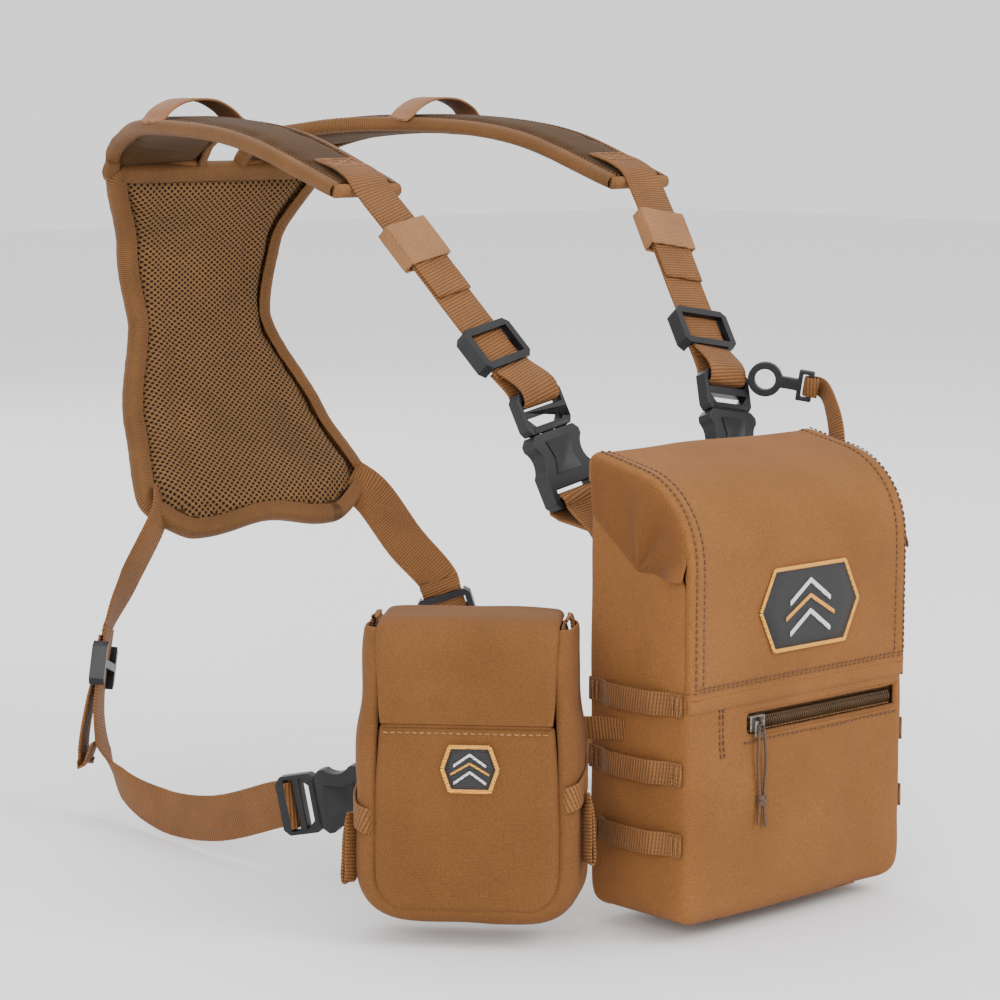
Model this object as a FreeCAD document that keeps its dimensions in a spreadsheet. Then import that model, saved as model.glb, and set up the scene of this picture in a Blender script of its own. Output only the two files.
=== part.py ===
"""Binocular harness pack: chest pack, rangefinder pouch, padded yoke, straps and buckles.

Every length is in millimetres. The pieces are drawn in the pack's own frame, where
+X is the wearer's left, +Y points at the wearer's chest, y = 0 is the outer face of
the pack's back wall and z = 0 is the underside of the pack. ROW_SHIFT then carries
them to the part's frame, whose origin is the middle of the chest pad's flat face.
"""
import FreeCAD, Part
import math
import os

from FreeCAD import Placement, Rotation, Vector

SIZES = {
    # pack shell
    "pack_width": (152, "outside width of the pack, 6 in"),
    "pack_depth": (66.5, "back wall to the front pocket's face"),
    "wall": (3, "foam-backed fabric panel"),
    "lining": (2.4, "inner front wall"),
    "back_height": (205, "top of the back wall"),
    "side_height": (201, "top of the side panels at the back"),
    "lid_hinge_height": (109, "seam that the lid turns on"),
    "lid_front": (67.5, "lid's front face ahead of the back wall"),
    "lid_bend_height": (172, "where the lid starts to curve back"),
    "lid_bend_radius": (42, "the lid's front curve"),
    "lid_top_slope": (12, "rise of the lid's top towards the wearer, degrees"),
    "lid_rear_radius": (4, "the lid's rear corner"),
    "lid_rear_height": (206.4, "rear hem of the lid"),
    "wing_gap": (0.4, "lid wing to side panel"),
    "wing_thick": (1.6, "stretch fabric of the wings"),
    "wing_seam_height": (167, "lower edge of the wings"),
    "binding_thick": (1.2, "edge binding of the lid"),
    "binding_width": (8, "edge binding of the lid"),
    "zip_left": (-38, "front pocket zip window"),
    "zip_right": (70, "front pocket zip window"),
    "zip_height": (93, "middle of the zip"),
    "zip_window": (12, "height of the zip window"),
    "slider_thick": (5.2, "zip slider, front to back"),
    "pad_thickness": (6, "chest pad"),
    "pad_width": (90, "chest pad"),
    "pad_bottom": (8, "chest pad"),
    "pad_top": (168, "chest pad"),
    "badge_width": (70, "lid badge"),
    "badge_height": (40, "lid badge"),
    "magnet_length": (18, "closure bar magnets"),
    "magnet_width": (6, "closure bar magnets"),
    "magnet_thick": (1.6, "closure bar magnets"),
    # webbing
    "webbing_width": (25, "main webbing"),
    "webbing_thick": (1.6, "main webbing"),
    "narrow_width": (11, "side loop webbing"),
    "loop_stand": (5, "clear height inside a side loop"),
    "tether_width": (10, "tether webbing"),
    # rangefinder pouch
    "pouch_width": (105, "outside width"),
    "pouch_depth": (42, "outside depth"),
    "pouch_height": (144, "outside height"),
    "pouch_wall": (2.4, "fabric wall"),
    "pouch_hinge_height": (96, "seam that its lid turns on"),
    "pouch_corner": (12, "lower corner radius"),
    "pouch_turn": (-47.8, "turn about +Z from the pack's front, degrees"),
    # 25 mm side-release buckle
    "socket_length": (38, "socket"),
    "buckle_width": (33, "socket"),
    "socket_thick": (9, "socket"),
    "plug_base": (21.6, "plug's base"),
    "plug_width": (31, "plug's base"),
    "plug_thick": (7, "plug's base"),
    "prong_reach": (19, "prongs past the base"),
    "prong_thick": (4, "prongs"),
    "cavity_thick": (5, "hollow of the socket"),
    # slide adjusters
    "adjuster_length": (24, "along the strap"),
    "adjuster_width": (34, "across the strap"),
    "adjuster_thick": (8.4, "overall"),
    "adjuster_bar": (2.8, "thickness of each bar"),
    # yoke
    "foam_thick": (6, "yoke foam"),
    "mesh_thick": (1.4, "spacer mesh"),
    "shell_thick": (1.8, "outer fabric"),
    "yoke_binding": (7, "width of the bound edge"),
    "yoke_thick": (10.6, "thickness over the bound edge"),
    "shoulder_thick": (9, "shoulder pads"),
    "keeper_width": (20, "shoulder keeper loops"),
    "elastic_length": (24, "elastic keeper along the strap"),
}

doc = FreeCAD.newDocument("harness_pack")
sheet = doc.addObject("Spreadsheet::Sheet", "Sizes")
for row, (alias, (value, note)) in enumerate(SIZES.items(), start=1):
    sheet.set(f"A{row}", alias)
    sheet.set(f"B{row}", str(value))
    sheet.set(f"C{row}", note)
    sheet.setAlias(f"B{row}", alias)
doc.recompute()


def size(alias):
    """Value of one spreadsheet cell."""
    return float(getattr(sheet, alias))


PAD_MIDDLE = (size("pad_bottom") + size("pad_top")) / 2
ROW_SHIFT = Vector(0, -size("pad_thickness"), -PAD_MIDDLE)
SHIFT_Y = "- Sizes.pad_thickness"
SHIFT_Z = "- (Sizes.pad_bottom + Sizes.pad_top) / 2"
X_AXIS = Vector(1, 0, 0)
Y_AXIS = Vector(0, 1, 0)
Z_AXIS = Vector(0, 0, 1)
SIDES = (("left", 1), ("right", -1))

sub_parts = []


def keep(piece, label):
    """Make an object one of the part's nodes."""
    piece.Label = label
    sub_parts.append(piece)
    return piece


def mirrored(point, side):
    """The same point on the wearer's left (side 1) or right (side -1)."""
    return Vector(side * point[0], point[1], point[2])


# ---------------------------------------------------------------- small builders

def box(name, low, high):
    """Part::Box between two corners given as spreadsheet expressions in the pack's frame."""
    piece = doc.addObject("Part::Box", name)
    for edge, start, end in zip(("Length", "Width", "Height"), low, high):
        piece.setExpression(edge, f"({end}) - ({start})")
    shifts = ("", SHIFT_Y, SHIFT_Z)
    for axis, start, shift in zip("xyz", low, shifts):
        piece.setExpression(f".Placement.Base.{axis}", f"({start}) {shift}")
    return piece


def cut(name, base, tool):
    """Part::Cut of two document objects."""
    piece = doc.addObject("Part::Cut", name)
    piece.Base = base
    piece.Tool = tool
    return piece


def shaped(label, shape, placement=None):
    """A node whose shape comes from Part's own functions, in the pack's frame."""
    piece = doc.addObject("Part::Feature", label)
    piece.Shape = shape
    piece.Placement = Placement(ROW_SHIFT, Rotation()) * (placement or Placement()) * shape.Placement
    return keep(piece, label)


def closed_wire(points):
    """Straight-sided closed outline."""
    return Part.makePolygon(list(points) + [points[0]])


def plate(points, thickness_vector):
    """Flat outline pushed through a vector."""
    return Part.Face(closed_wire(points)).extrude(thickness_vector)


def interpolated(values, stops, at):
    """Straight-line value between stops."""
    for (a, b), (u, v) in zip(zip(values, values[1:]), zip(stops, stops[1:])):
        if at <= v:
            return a + (b - a) * (at - u) / (v - u)
    return values[-1]


def smooth_line(points, stops):
    """Spline through points at the given parameters."""
    curve = Part.BSplineCurve()
    curve.interpolate(Points=points, Parameters=stops)
    return curve


def ribbon(points, across, width, thickness, stations=0, offset=0.0, span=(0.0, 1.0)):
    """Closed strip that follows a line in space.

    across is one direction or one for each point; width is one number or one for each
    point. With stations the line is a smooth curve sampled that many times between the
    two fractions in span; without, it runs straight from point to point. offset moves
    the strip along its own normal.
    """
    points = [Vector(*p) for p in points]
    if isinstance(across, list):
        acrosses = [Vector(*a) for a in across]
    else:
        acrosses = [Vector(*across)] * len(points)
    widths = width if isinstance(width, list) else [width] * len(points)
    lengths = [0.0]
    for a, b in zip(points, points[1:]):
        lengths.append(lengths[-1] + a.distanceToPoint(b))
    stops = [length / lengths[-1] for length in lengths]
    if stations:
        line = smooth_line(points, stops)
        samples = [span[0] + (span[1] - span[0]) * k / (stations - 1) for k in range(stations)]
        places = [line.value(u) for u in samples]
    else:
        samples = stops
        places = points
    parts = [[a[k] for a in acrosses] for k in range(3)]
    tilts = [Vector(*(interpolated(part, stops, u) for part in parts)) for u in samples]
    sections = []
    last = len(places) - 1
    for k, (place, tilt, at) in enumerate(zip(places, tilts, samples)):
        before = (place - places[k - 1]).normalize() if k else None
        after = (places[k + 1] - place).normalize() if k < last else None
        along = ((before or after) + (after or before)).normalize()
        sharp = along.dot(after or before)
        sideways = (tilt - along * tilt.dot(along)).normalize()
        normal = along.cross(sideways) * (1 / sharp)
        middle = place + normal * offset
        half = sideways * (interpolated(widths, stops, at) / 2)
        depth = normal * (thickness / 2)
        near = [middle - half - depth, middle + half - depth]
        far = [middle + half + depth, middle - half + depth]
        sections.append(closed_wire(near + far))
    strip = Part.makeLoft(sections, True, True)
    if strip.Volume < 0:
        strip.reverse()
    return strip


# ---------------------------------------------------------------- PartDesign helpers

def new_body(label):
    """PartDesign body that becomes a node."""
    return keep(doc.addObject("PartDesign::Body", label), label)


def plane_of(body, role="XY_Plane"):
    """One of a body's own origin planes."""
    return next(f for f in body.Origin.OriginFeatures if f.Role == role)


def polygon(points):
    """Closed chain of sketch lines."""
    corners = [Vector(x, y, 0) for x, y in points]
    return [Part.LineSegment(a, b) for a, b in zip(corners, corners[1:] + corners[:1])]


def rectangle(x_low, x_high, y_low, y_high):
    """Four sketch lines."""
    return polygon([(x_low, y_low), (x_high, y_low), (x_high, y_high), (x_low, y_high)])


def drawn(body, edges, height=0.0, role="XY_Plane"):
    """Sketch on one of the body's planes, lifted by height."""
    sketch = body.newObject("Sketcher::SketchObject", body.Name + "_sketch")
    sketch.AttachmentSupport = [(plane_of(body, role), "")]
    sketch.MapMode = "FlatFace"
    sketch.AttachmentOffset = Placement(Vector(0, 0, height), Rotation())
    sketch.addGeometry(edges, False)
    return sketch


def padded_up(body, edges, length, height=None, role="XY_Plane"):
    """Pad an outline: both ways from the plane, or upwards from a height."""
    pad = body.newObject("PartDesign::Pad", body.Name + "_pad")
    pad.Profile = drawn(body, edges, height or 0.0, role)
    pad.SideType = "Symmetric" if height is None else "One side"
    pad.setExpression("Length", length)
    doc.recompute()
    return pad


def pocketed(body, edges, length, height=0.0):
    """Pocket an outline both ways from a height, and make sure that it cut."""
    before = body.Shape.Volume
    pocket = body.newObject("PartDesign::Pocket", body.Name + "_pocket")
    pocket.Profile = drawn(body, edges, height)
    pocket.SideType = "Symmetric"
    pocket.setExpression("Length", length)
    doc.recompute()
    assert body.Shape.Volume < before - 1, f"{body.Label}: a pocket cut nothing"
    return pocket


def aimed(along, across_hint, centre):
    """Placement whose local +Y runs along a strap and whose local +X runs across it."""
    y_dir = Vector(*along).normalize()
    x_dir = Vector(*across_hint)
    x_dir = (x_dir - y_dir * x_dir.dot(y_dir)).normalize()
    z_dir = x_dir.cross(y_dir)
    return Placement(Vector(*centre), Rotation(x_dir, y_dir, z_dir, "XYZ"))


def settle(body, placement):
    """Put a body that was drawn about its own middle in its place."""
    body.Placement = Placement(ROW_SHIFT, Rotation()) * placement


# ---------------------------------------------------------------- pack shell

def lid_line(inset):
    """The lid's side profile, moved in by inset: front hem, bend, top, rear corner, rear hem."""
    slope = math.radians(size("lid_top_slope"))
    radius = size("lid_bend_radius") - inset
    front = -size("lid_front") + inset
    bend_y = -size("lid_front") + size("lid_bend_radius")
    bend_z = size("lid_bend_height")
    corner = size("lid_rear_radius")
    bend_end = Vector(0, bend_y - radius * math.sin(slope), bend_z + radius * math.cos(slope))
    half_way = (math.pi / 2 - slope) / 2
    bend_mid = Vector(0, bend_y - radius * math.cos(half_way), bend_z + radius * math.sin(half_way))
    outer = size("lid_bend_radius")
    top_z = bend_z + outer * math.cos(slope) + (outer * math.sin(slope) - bend_y - corner) * math.tan(slope)
    pivot = Vector(0, -corner, top_z - corner)
    small = corner - inset
    rear_start = pivot + Vector(0, -small * math.sin(slope), small * math.cos(slope))
    turn = math.pi / 4 - slope / 2
    rear_mid = pivot + Vector(0, small * math.sin(turn), small * math.cos(turn))
    rear_end = pivot + Vector(0, small, 0)
    foot = Vector(0, small - corner, size("lid_rear_height"))
    hem = Vector(0, front, size("lid_hinge_height") + 0.3)
    bend_start = Vector(0, front, bend_z)
    return [
        Part.LineSegment(hem, bend_start).toShape(),
        Part.Arc(bend_start, bend_mid, bend_end).toShape(),
        Part.LineSegment(bend_end, rear_start).toShape(),
        Part.Arc(rear_start, rear_mid, rear_end).toShape(),
        Part.LineSegment(rear_end, foot).toShape(),
    ]


def lid_band(outer, inner, x_low, x_high):
    """Layer between two insets of the lid's profile, from one x to another."""
    one = Part.Wire(lid_line(outer))
    two = Part.Wire(lid_line(inner))
    ends = [
        Part.makeLine(one.OrderedVertexes[0].Point, two.OrderedVertexes[0].Point),
        Part.makeLine(one.OrderedVertexes[-1].Point, two.OrderedVertexes[-1].Point),
    ]
    outline = Part.Wire(Part.__sortEdges__(one.Edges + two.Edges + ends))
    face = Part.Face(outline)
    face.translate(Vector(x_low, 0, 0))
    return face.extrude(Vector(x_high - x_low, 0, 0))


def magnet_bars(y_low, z_low):
    """Pair of flat bar magnets with their lower front edge at the given place."""
    length = size("magnet_length")
    thick = size("magnet_thick")
    width = size("magnet_width")
    bars = [Part.makeBox(length, thick, width, Vector(x - length / 2, y_low, z_low)) for x in (-40, 40)]
    return Part.makeCompound(bars)


def make_walls():
    """Back wall, sides, inner front wall, base and the pocket's face."""
    half = "Sizes.pack_width / 2"
    back = box("back_board", (f"-{half}", "-Sizes.wall", "Sizes.wall"), (half, "0", "Sizes.back_height"))
    keep(back, "back_panel")
    base = box("base_board", (f"-{half}", "-Sizes.pack_depth", "0"), (half, "0", "Sizes.wall"))
    keep(base, "base_panel")
    lining_face = "-Sizes.pack_depth + Sizes.wall + 1"
    lining = box(
        "lining_board",
        (f"-{half} + Sizes.wall", lining_face, "Sizes.wall"),
        (f"{half} - Sizes.wall", f"{lining_face} + Sizes.lining", "Sizes.lid_hinge_height - 0.5"),
    )
    keep(lining, "front_wall")
    front = box(
        "front_board",
        (f"-{half}", "-Sizes.pack_depth", "Sizes.wall"),
        (half, "-Sizes.pack_depth + Sizes.wall", "Sizes.lid_hinge_height - 0.5"),
    )
    window = box(
        "zip_window",
        ("Sizes.zip_left", "-Sizes.pack_depth - 1", "Sizes.zip_height - Sizes.zip_window / 2"),
        ("Sizes.zip_right", "-Sizes.pack_depth + Sizes.wall + 1", "Sizes.zip_height + Sizes.zip_window / 2"),
    )
    keep(cut("front_cut", front, window), "front_pocket_panel")
    pad = box(
        "pad_board",
        ("-Sizes.pad_width / 2", "0", "Sizes.pad_bottom"),
        ("Sizes.pad_width / 2", "Sizes.pad_thickness", "Sizes.pad_top"),
    )
    keep(pad, "chest_pad")


def make_side_panels():
    """Side panels, whose tops slope down under the lid."""
    outer = size("pack_width") / 2
    front = -size("pack_depth") + size("wall")
    step = size("lid_hinge_height") - 0.5
    outline = [
        (-size("wall"), size("wall")),
        (front, size("wall")),
        (front, step),
        (front, size("wing_seam_height") - 10),
        (front + 12, size("wing_seam_height") + 12),
        (front + 34, size("side_height") - 5),
        (-size("wall"), size("side_height")),
    ]
    for name, side in SIDES:
        x = side * outer
        points = [Vector(x, y, z) for y, z in outline]
        shaped(f"side_panel_{name}", plate(points, Vector(-side * size("wall"), 0, 0)))


def make_zip():
    """Zip tape behind the window, the closed coil and the seam strip above them."""
    reach = "(Sizes.zip_window / 2 + 4)"
    keep(box(
        "tape_board",
        ("Sizes.zip_left - 4", "-Sizes.pack_depth + Sizes.wall", f"Sizes.zip_height - {reach}"),
        ("Sizes.zip_right + 2.5", "-Sizes.pack_depth + Sizes.wall + 0.8", f"Sizes.zip_height + {reach}"),
    ), "zipper_tape")
    keep(box(
        "coil_board",
        ("Sizes.zip_left + 1", "-Sizes.pack_depth + 1.2", "Sizes.zip_height - 2"),
        ("Sizes.zip_right - 1", "-Sizes.pack_depth + Sizes.wall", "Sizes.zip_height + 2"),
    ), "zipper_coil")
    keep(box(
        "hem_board",
        ("-Sizes.pack_width / 2", "-Sizes.lid_front", "Sizes.lid_hinge_height - 6"),
        ("Sizes.pack_width / 2", "-Sizes.pack_depth", "Sizes.lid_hinge_height - 0.5"),
    ), "front_hem")


def make_slider():
    """Slider that straddles the coil, with a bail for the cord."""
    body = new_body("zipper_slider")
    padded_up(body, rectangle(-5, 5, -3.8, 3.8), "Sizes.slider_thick")
    pocketed(body, rectangle(-6, 6, -2.3, 2.3), "Sizes.slider_thick", -1.2)
    padded_up(body, rectangle(-3, 3, -6.5, 1.5), "1.4", size("slider_thick") / 2)
    start = Vector(size("zip_left") + 7, -size("pack_depth") + 0.3, size("zip_height"))
    settle(body, Placement(start, Rotation(X_AXIS, 90)))


def tube(route, diameter):
    """Round cord: straight runs joined by arcs that are as large as the runs allow."""
    points = [Vector(*p) for p in route]
    edges = []
    start = points[0]
    for before, corner, after in zip(points, points[1:], points[2:]):
        into = corner - before
        out = after - corner
        turn = into.getAngle(out)
        setback = 0.45 * min(into.Length, out.Length)
        print(f"cord radius {setback / math.tan(turn / 2):.1f} mm")
        arc_in = corner - into.normalize() * setback
        arc_out = corner + out.normalize() * setback
        bisector = ((before - corner).normalize() + (after - corner).normalize()).normalize()
        radius = setback / math.tan(turn / 2)
        reach = radius / math.cos(turn / 2) - radius
        edges.append(Part.LineSegment(start, arc_in).toShape())
        edges.append(Part.Arc(arc_in, corner + bisector * reach, arc_out).toShape())
        start = arc_out
    edges.append(Part.LineSegment(start, points[-1]).toShape())
    path = Part.Wire(edges)
    first = (points[1] - points[0]).normalize()
    profile = Part.Wire(Part.makeCircle(diameter / 2, points[0], first))
    solid = path.makePipeShell([profile], True, True)
    expected = math.pi * diameter ** 2 / 4 * path.Length
    print(f"cord length {path.Length:.1f} mm, volume over section times length {solid.Volume / expected:.3f}")
    return solid


# Route of each leg of the zip pull, from the slider's bail through the knot to its tail.
PULL_ROUTES = {
    "pull_cord_a": [(-32.6, -71.2, 90.5), (-34.2, -72.0, 79.5), (-33.9, -72.1, 67.5), (-32.1, -71.8, 56.0),
                    (-33.8, -72.0, 44.5)],
    "pull_cord_b": [(-29.4, -71.2, 90.5), (-28.3, -72.0, 79.5), (-28.9, -72.1, 67.5), (-30.1, -71.8, 56.0),
                    (-28.4, -72.0, 43.0)],
}
CORD_DIAMETER = 1.6
KNOT_CENTRE = (-31.1, -71.8, 56.0)


def make_pull():
    """Two cord legs and the knot that joins them."""
    for name, route in PULL_ROUTES.items():
        shaped(name, tube(route, CORD_DIAMETER))
    knot = Part.makeSphere(2.9)
    stretch = FreeCAD.Matrix()
    stretch.scale(1.0, 0.8, 1.1)
    knot = knot.transformGeometry(stretch)
    knot.translate(Vector(*KNOT_CENTRE))
    shaped("pull_knot", knot)


def make_lid():
    """Lid sheet, its bound edges, the wings that cover the open sides, badge and magnets."""
    half = size("pack_width") / 2
    lid = lid_band(0, size("wall"), -half, half)
    bars = magnet_bars(-size("wall") + 0.7, size("lid_rear_height") + 0.8)
    shaped("lid_panel", lid.cut(bars))
    shaped("lid_magnets", bars)
    edge = size("binding_width")
    strips = [lid_band(-size("binding_thick"), 0, x, x + edge) for x in (-half, half - edge)]
    shaped("lid_binding", Part.makeCompound(strips))
    seam = size("wing_seam_height")
    keep_box = Part.makeBox(400, 400, 200, Vector(-200, -200, seam))
    under_cut = plate([Vector(-200, -34, seam - 1), Vector(-200, 20, seam - 1), Vector(-200, 20, 240),
                       Vector(-200, 2, 213)], Vector(400, 0, 0))
    filled = Part.Wire(lid_line(0))
    closing = Part.makeLine(filled.OrderedVertexes[-1].Point, filled.OrderedVertexes[0].Point)
    outline = Part.Wire(Part.__sortEdges__(filled.Edges + [closing]))
    wings = []
    for _, side in SIDES:
        face = Part.Face(outline)
        face.translate(Vector(side * (half + size("wing_gap")), 0, 0))
        wing = face.extrude(Vector(side * size("wing_thick"), 0, 0))
        wings.append(wing.common(keep_box).cut(under_cut))
    shaped("lid_wings", Part.makeCompound(wings))
    make_badge("lid_badge", Vector(3.5, -size("lid_front"), 146), size("badge_width"), size("badge_height"))


def make_badge(label, centre, width, height, placement=None):
    """Flat six-sided patch."""
    corners = [(-0.5, 0), (-0.36, -0.5), (0.36, -0.5), (0.5, 0), (0.36, 0.5), (-0.36, 0.5)]
    points = [centre + Vector(u * width, 0, v * height) for u, v in corners]
    shaped(label, plate(points, Vector(0, -1.4, 0)), placement)


def make_back_magnets():
    """Bar magnets on the inner face of the back wall, under the lid's rear hem."""
    low = size("back_height") - size("magnet_width")
    shaped("back_magnets", magnet_bars(-size("wall") - size("magnet_thick"), low))


def make_side_loops():
    """Three webbing loops on each side, sewn flat at both ends and arched between."""
    face = size("pack_width") / 2
    thick = 1.2
    stand = size("loop_stand") + thick / 2
    sewn = thick / 2
    path = [(-63, sewn), (-56, sewn), (-52, stand), (-16, stand), (-12, sewn), (-4, sewn)]
    loops = []
    for side in (1, -1):
        for height in (107, 74, 40):
            points = [(side * (face + out), y, height) for y, out in path]
            loops.append(ribbon(points, (0, 0, 1), size("narrow_width"), thick))
    shaped("side_loops", Part.makeCompound(loops))


def make_base_webbing():
    """Two webbing strips sewn flat across the base."""
    strips = []
    for x in (-38, 38):
        low = Vector(x - size("webbing_width") / 2, -60, -size("webbing_thick"))
        strips.append(Part.makeBox(size("webbing_width"), 54, size("webbing_thick"), low))
    shaped("base_webbing", Part.makeCompound(strips))


# ---------------------------------------------------------------- rangefinder pouch

def pouch_placement():
    """The pouch's own frame: its back face in y = 0, its underside in z = 0."""
    return Placement(Vector(-124.4, 28, 2), Rotation(Z_AXIS, size("pouch_turn")))


def pouch_outline(inset, top):
    """Front view of the pouch with round lower corners, open at the top."""
    half = size("pouch_width") / 2 - inset
    radius = size("pouch_corner") - inset
    centre = size("pouch_width") / 2 - size("pouch_corner")
    lift = size("pouch_corner")
    diag = radius * math.sqrt(0.5)
    left_mid = Vector(-centre - diag, 0, lift - diag)
    right_mid = Vector(centre + diag, 0, lift - diag)
    return [
        Part.LineSegment(Vector(-half, 0, top), Vector(-half, 0, lift)).toShape(),
        Part.Arc(Vector(-half, 0, lift), left_mid, Vector(-centre, 0, inset)).toShape(),
        Part.LineSegment(Vector(-centre, 0, inset), Vector(centre, 0, inset)).toShape(),
        Part.Arc(Vector(centre, 0, inset), right_mid, Vector(half, 0, lift)).toShape(),
        Part.LineSegment(Vector(half, 0, lift), Vector(half, 0, top)).toShape(),
    ]


def pouch_slab(inset, top, y_low, y_high):
    """Solid with the pouch's outline between two depths."""
    edges = pouch_outline(inset, top)
    lid_edge = Part.makeLine(edges[-1].Vertexes[-1].Point, edges[0].Vertexes[0].Point)
    face = Part.Face(Part.Wire(edges + [lid_edge]))
    face.translate(Vector(0, y_low, 0))
    return face.extrude(Vector(0, y_high - y_low, 0))


def make_pouch():
    """Back, gusset, front, lid, badge and webbing tabs of the rangefinder pouch."""
    place = pouch_placement()
    wall = size("pouch_wall")
    depth = size("pouch_depth")
    hinge = size("pouch_hinge_height")
    height = size("pouch_height")
    half = size("pouch_width") / 2
    shaped("rf_back_panel", pouch_slab(0, height - 8, -wall, 0), place)
    shaped("rf_front_panel", pouch_slab(0, hinge - 0.4, -depth, -depth + wall), place)
    ring = pouch_slab(0, height - 14, -depth + wall, -wall)
    hollow = pouch_slab(wall, height, -depth + wall - 1, -wall + 1)
    slope = plate([Vector(-200, -depth - 1, hinge + 12), Vector(-200, -depth + 14, height),
                   Vector(-200, -depth - 1, height)], Vector(400, 0, 0))
    shaped("rf_gusset", ring.cut(hollow).cut(slope), place)
    shaped("rf_lid", pouch_lid(wall, depth, hinge, height, half), place)
    make_badge("rf_badge", Vector(2, -depth, 79), 25, 22, place)
    make_pouch_tabs(place, half, depth)


def pouch_lid(wall, depth, hinge, height, half):
    """Lid sheet: front flap, round bend and flat top, ending above the back panel."""
    bend = 15
    def profile(inset):
        radius = bend - inset
        centre_y = -depth + bend
        centre_z = height - bend
        diag = radius * math.sqrt(0.5)
        start = Vector(0, centre_y - radius, centre_z)
        middle = Vector(0, centre_y - diag, centre_z + diag)
        end = Vector(0, centre_y, centre_z + radius)
        return [
            Part.LineSegment(Vector(0, centre_y - radius, hinge + 0.3), start).toShape(),
            Part.Arc(start, middle, end).toShape(),
            Part.LineSegment(end, Vector(0, 0, centre_z + radius)).toShape(),
        ]
    one = Part.Wire(profile(0))
    two = Part.Wire(profile(wall))
    ends = [Part.makeLine(one.OrderedVertexes[k].Point, two.OrderedVertexes[k].Point) for k in (0, -1)]
    face = Part.Face(Part.Wire(Part.__sortEdges__(one.Edges + two.Edges + ends)))
    face.translate(Vector(-half, 0, 0))
    return face.extrude(Vector(2 * half, 0, 0))


def make_pouch_tabs(place, half, depth):
    """Slanted webbing tabs on the pouch's sides, each with a folded pull hanging from it."""
    width = size("narrow_width")
    thick = 1.2
    pieces = []
    for side, height in ((-1, 62), (1, 70)):
        x = side * (half + thick / 2)
        band = [(x, -depth + 4, height - 4), (x, -6, height + 2)]
        pieces.append(ribbon(band, (0, 0, 1), width, thick))
        hang = x + side * 1.4
        fold = [(hang, -depth + 14, height - 8), (hang + side * 2.5, -depth + 12, height - 22),
                (hang + side * 3.2, -depth + 10, height - 38)]
        pieces.append(ribbon(fold, (0, 1, 0), width - 2, 2.2))
    link = ribbon(
        [(-103.7, 6.3, 90), (-89.4, -9.4, 90), (-82, -17, 90), (-77.2, -26, 90), (-76.65, -34, 90)],
        (0, 0, 1), width, thick,
    )
    link.transformShape(place.inverse().toMatrix())
    pieces.append(link)
    shaped("rf_tabs", Part.makeCompound(pieces), place)


# ---------------------------------------------------------------- buckles and adjusters

def make_socket(label, placement):
    """Socket half: local +Y is its mouth, local z its thickness; the hollow is open at the mouth."""
    body = new_body(label)
    half = size("buckle_width") / 2
    tail = -size("socket_length") + 8
    chamfer = 3
    padded_up(body, polygon([
        (-half + chamfer, tail), (half - chamfer, tail), (half, tail + chamfer), (half, 8 - chamfer),
        (half - chamfer, 8), (-half + chamfer, 8), (-half, 8 - chamfer), (-half, tail + chamfer),
    ]), "Sizes.socket_thick")
    pocketed(body, rectangle(-half + 3, half - 3, -15, 9), "Sizes.cavity_thick")
    waist = [Part.Circle(Vector(side * (half + 6.5), -5, 0), Z_AXIS, 9.5) for side in (-1, 1)]
    pocketed(body, waist, "Sizes.socket_thick + 2")
    slot = half - 3.5
    pocketed(body, rectangle(-slot, slot, tail + 3.5, tail + 9.5), "Sizes.socket_thick + 2")
    settle(body, placement)
    return body


def make_plug(label, placement):
    """Plug half: base with two webbing slots, a middle guide and two prongs that lie in the socket."""
    body = new_body(label)
    half = size("plug_width") / 2
    low = 8.4
    high = low + size("plug_base")
    padded_up(body, polygon([
        (-half + 2, low), (half - 2, low), (half, low + 3), (half, high - 3),
        (half - 3, high), (-half + 3, high), (-half, high - 3), (-half, low + 3),
    ]), "Sizes.plug_thick")
    slot = size("webbing_width") / 2 + 0.7
    opening = [(-9, low + 3.6), (9, low + 3.6), (slot, low + 8.4), (-slot, low + 8.4)]
    pocketed(body, polygon(opening), "Sizes.plug_thick + 2")
    pocketed(body, rectangle(-slot, slot, high - 9.4, high - 4.6), "Sizes.plug_thick + 2")
    tip = low - size("prong_reach")
    for side in (-1, 1):
        padded_up(body, polygon([
            (side * 7.5, low + 1), (side * 11.5, low + 1), (side * 11.3, tip + 12), (side * 13.0, tip + 7),
            (side * 12.0, tip + 1), (side * 9.5, tip), (side * 8.6, tip + 10),
        ]), "Sizes.prong_thick")
    padded_up(body, rectangle(-2.2, 2.2, tip + 4, low + 1), "Sizes.prong_thick")
    settle(body, placement)
    return body


def make_adjuster(label, placement):
    """Three-bar slide whose middle bar lies under the webbing and whose end bars lie over it."""
    body = new_body(label)
    half_x = size("adjuster_width") / 2
    half_y = size("adjuster_length") / 2
    clear = size("webbing_width") / 2 + 0.8
    corner = 3
    padded_up(body, polygon([
        (-half_x + corner, -half_y), (half_x - corner, -half_y), (half_x, -half_y + corner),
        (half_x, half_y - corner), (half_x - corner, half_y), (-half_x + corner, half_y),
        (-half_x, half_y - corner), (-half_x, -half_y + corner),
    ]), "Sizes.adjuster_thick")
    pocketed(body, rectangle(-clear, clear, -half_y - 1, half_y + 1), "Sizes.adjuster_thick + 2")
    top = size("adjuster_thick") / 2 - size("adjuster_bar")
    bottom = -size("adjuster_thick") / 2
    reach = clear + 1
    for low, high, height in ((-half_y, -half_y + 4, top), (half_y - 4, half_y, top), (-2.2, 2.2, bottom)):
        padded_up(body, rectangle(-reach, reach, low, high), "Sizes.adjuster_bar", height)
    settle(body, placement)
    return body


# ---------------------------------------------------------------- harness

STRAP_TOP = Vector(88, 114, 315)
STRAP_DIRECTION = Vector(-22, -65, -76).normalize()
SHOULDER_BUCKLE = ((56.5, 30, 190), (67, 51, 246))
LOWER_BUCKLE = ((104, 116, 38.5), (134, 167, 27))


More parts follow.
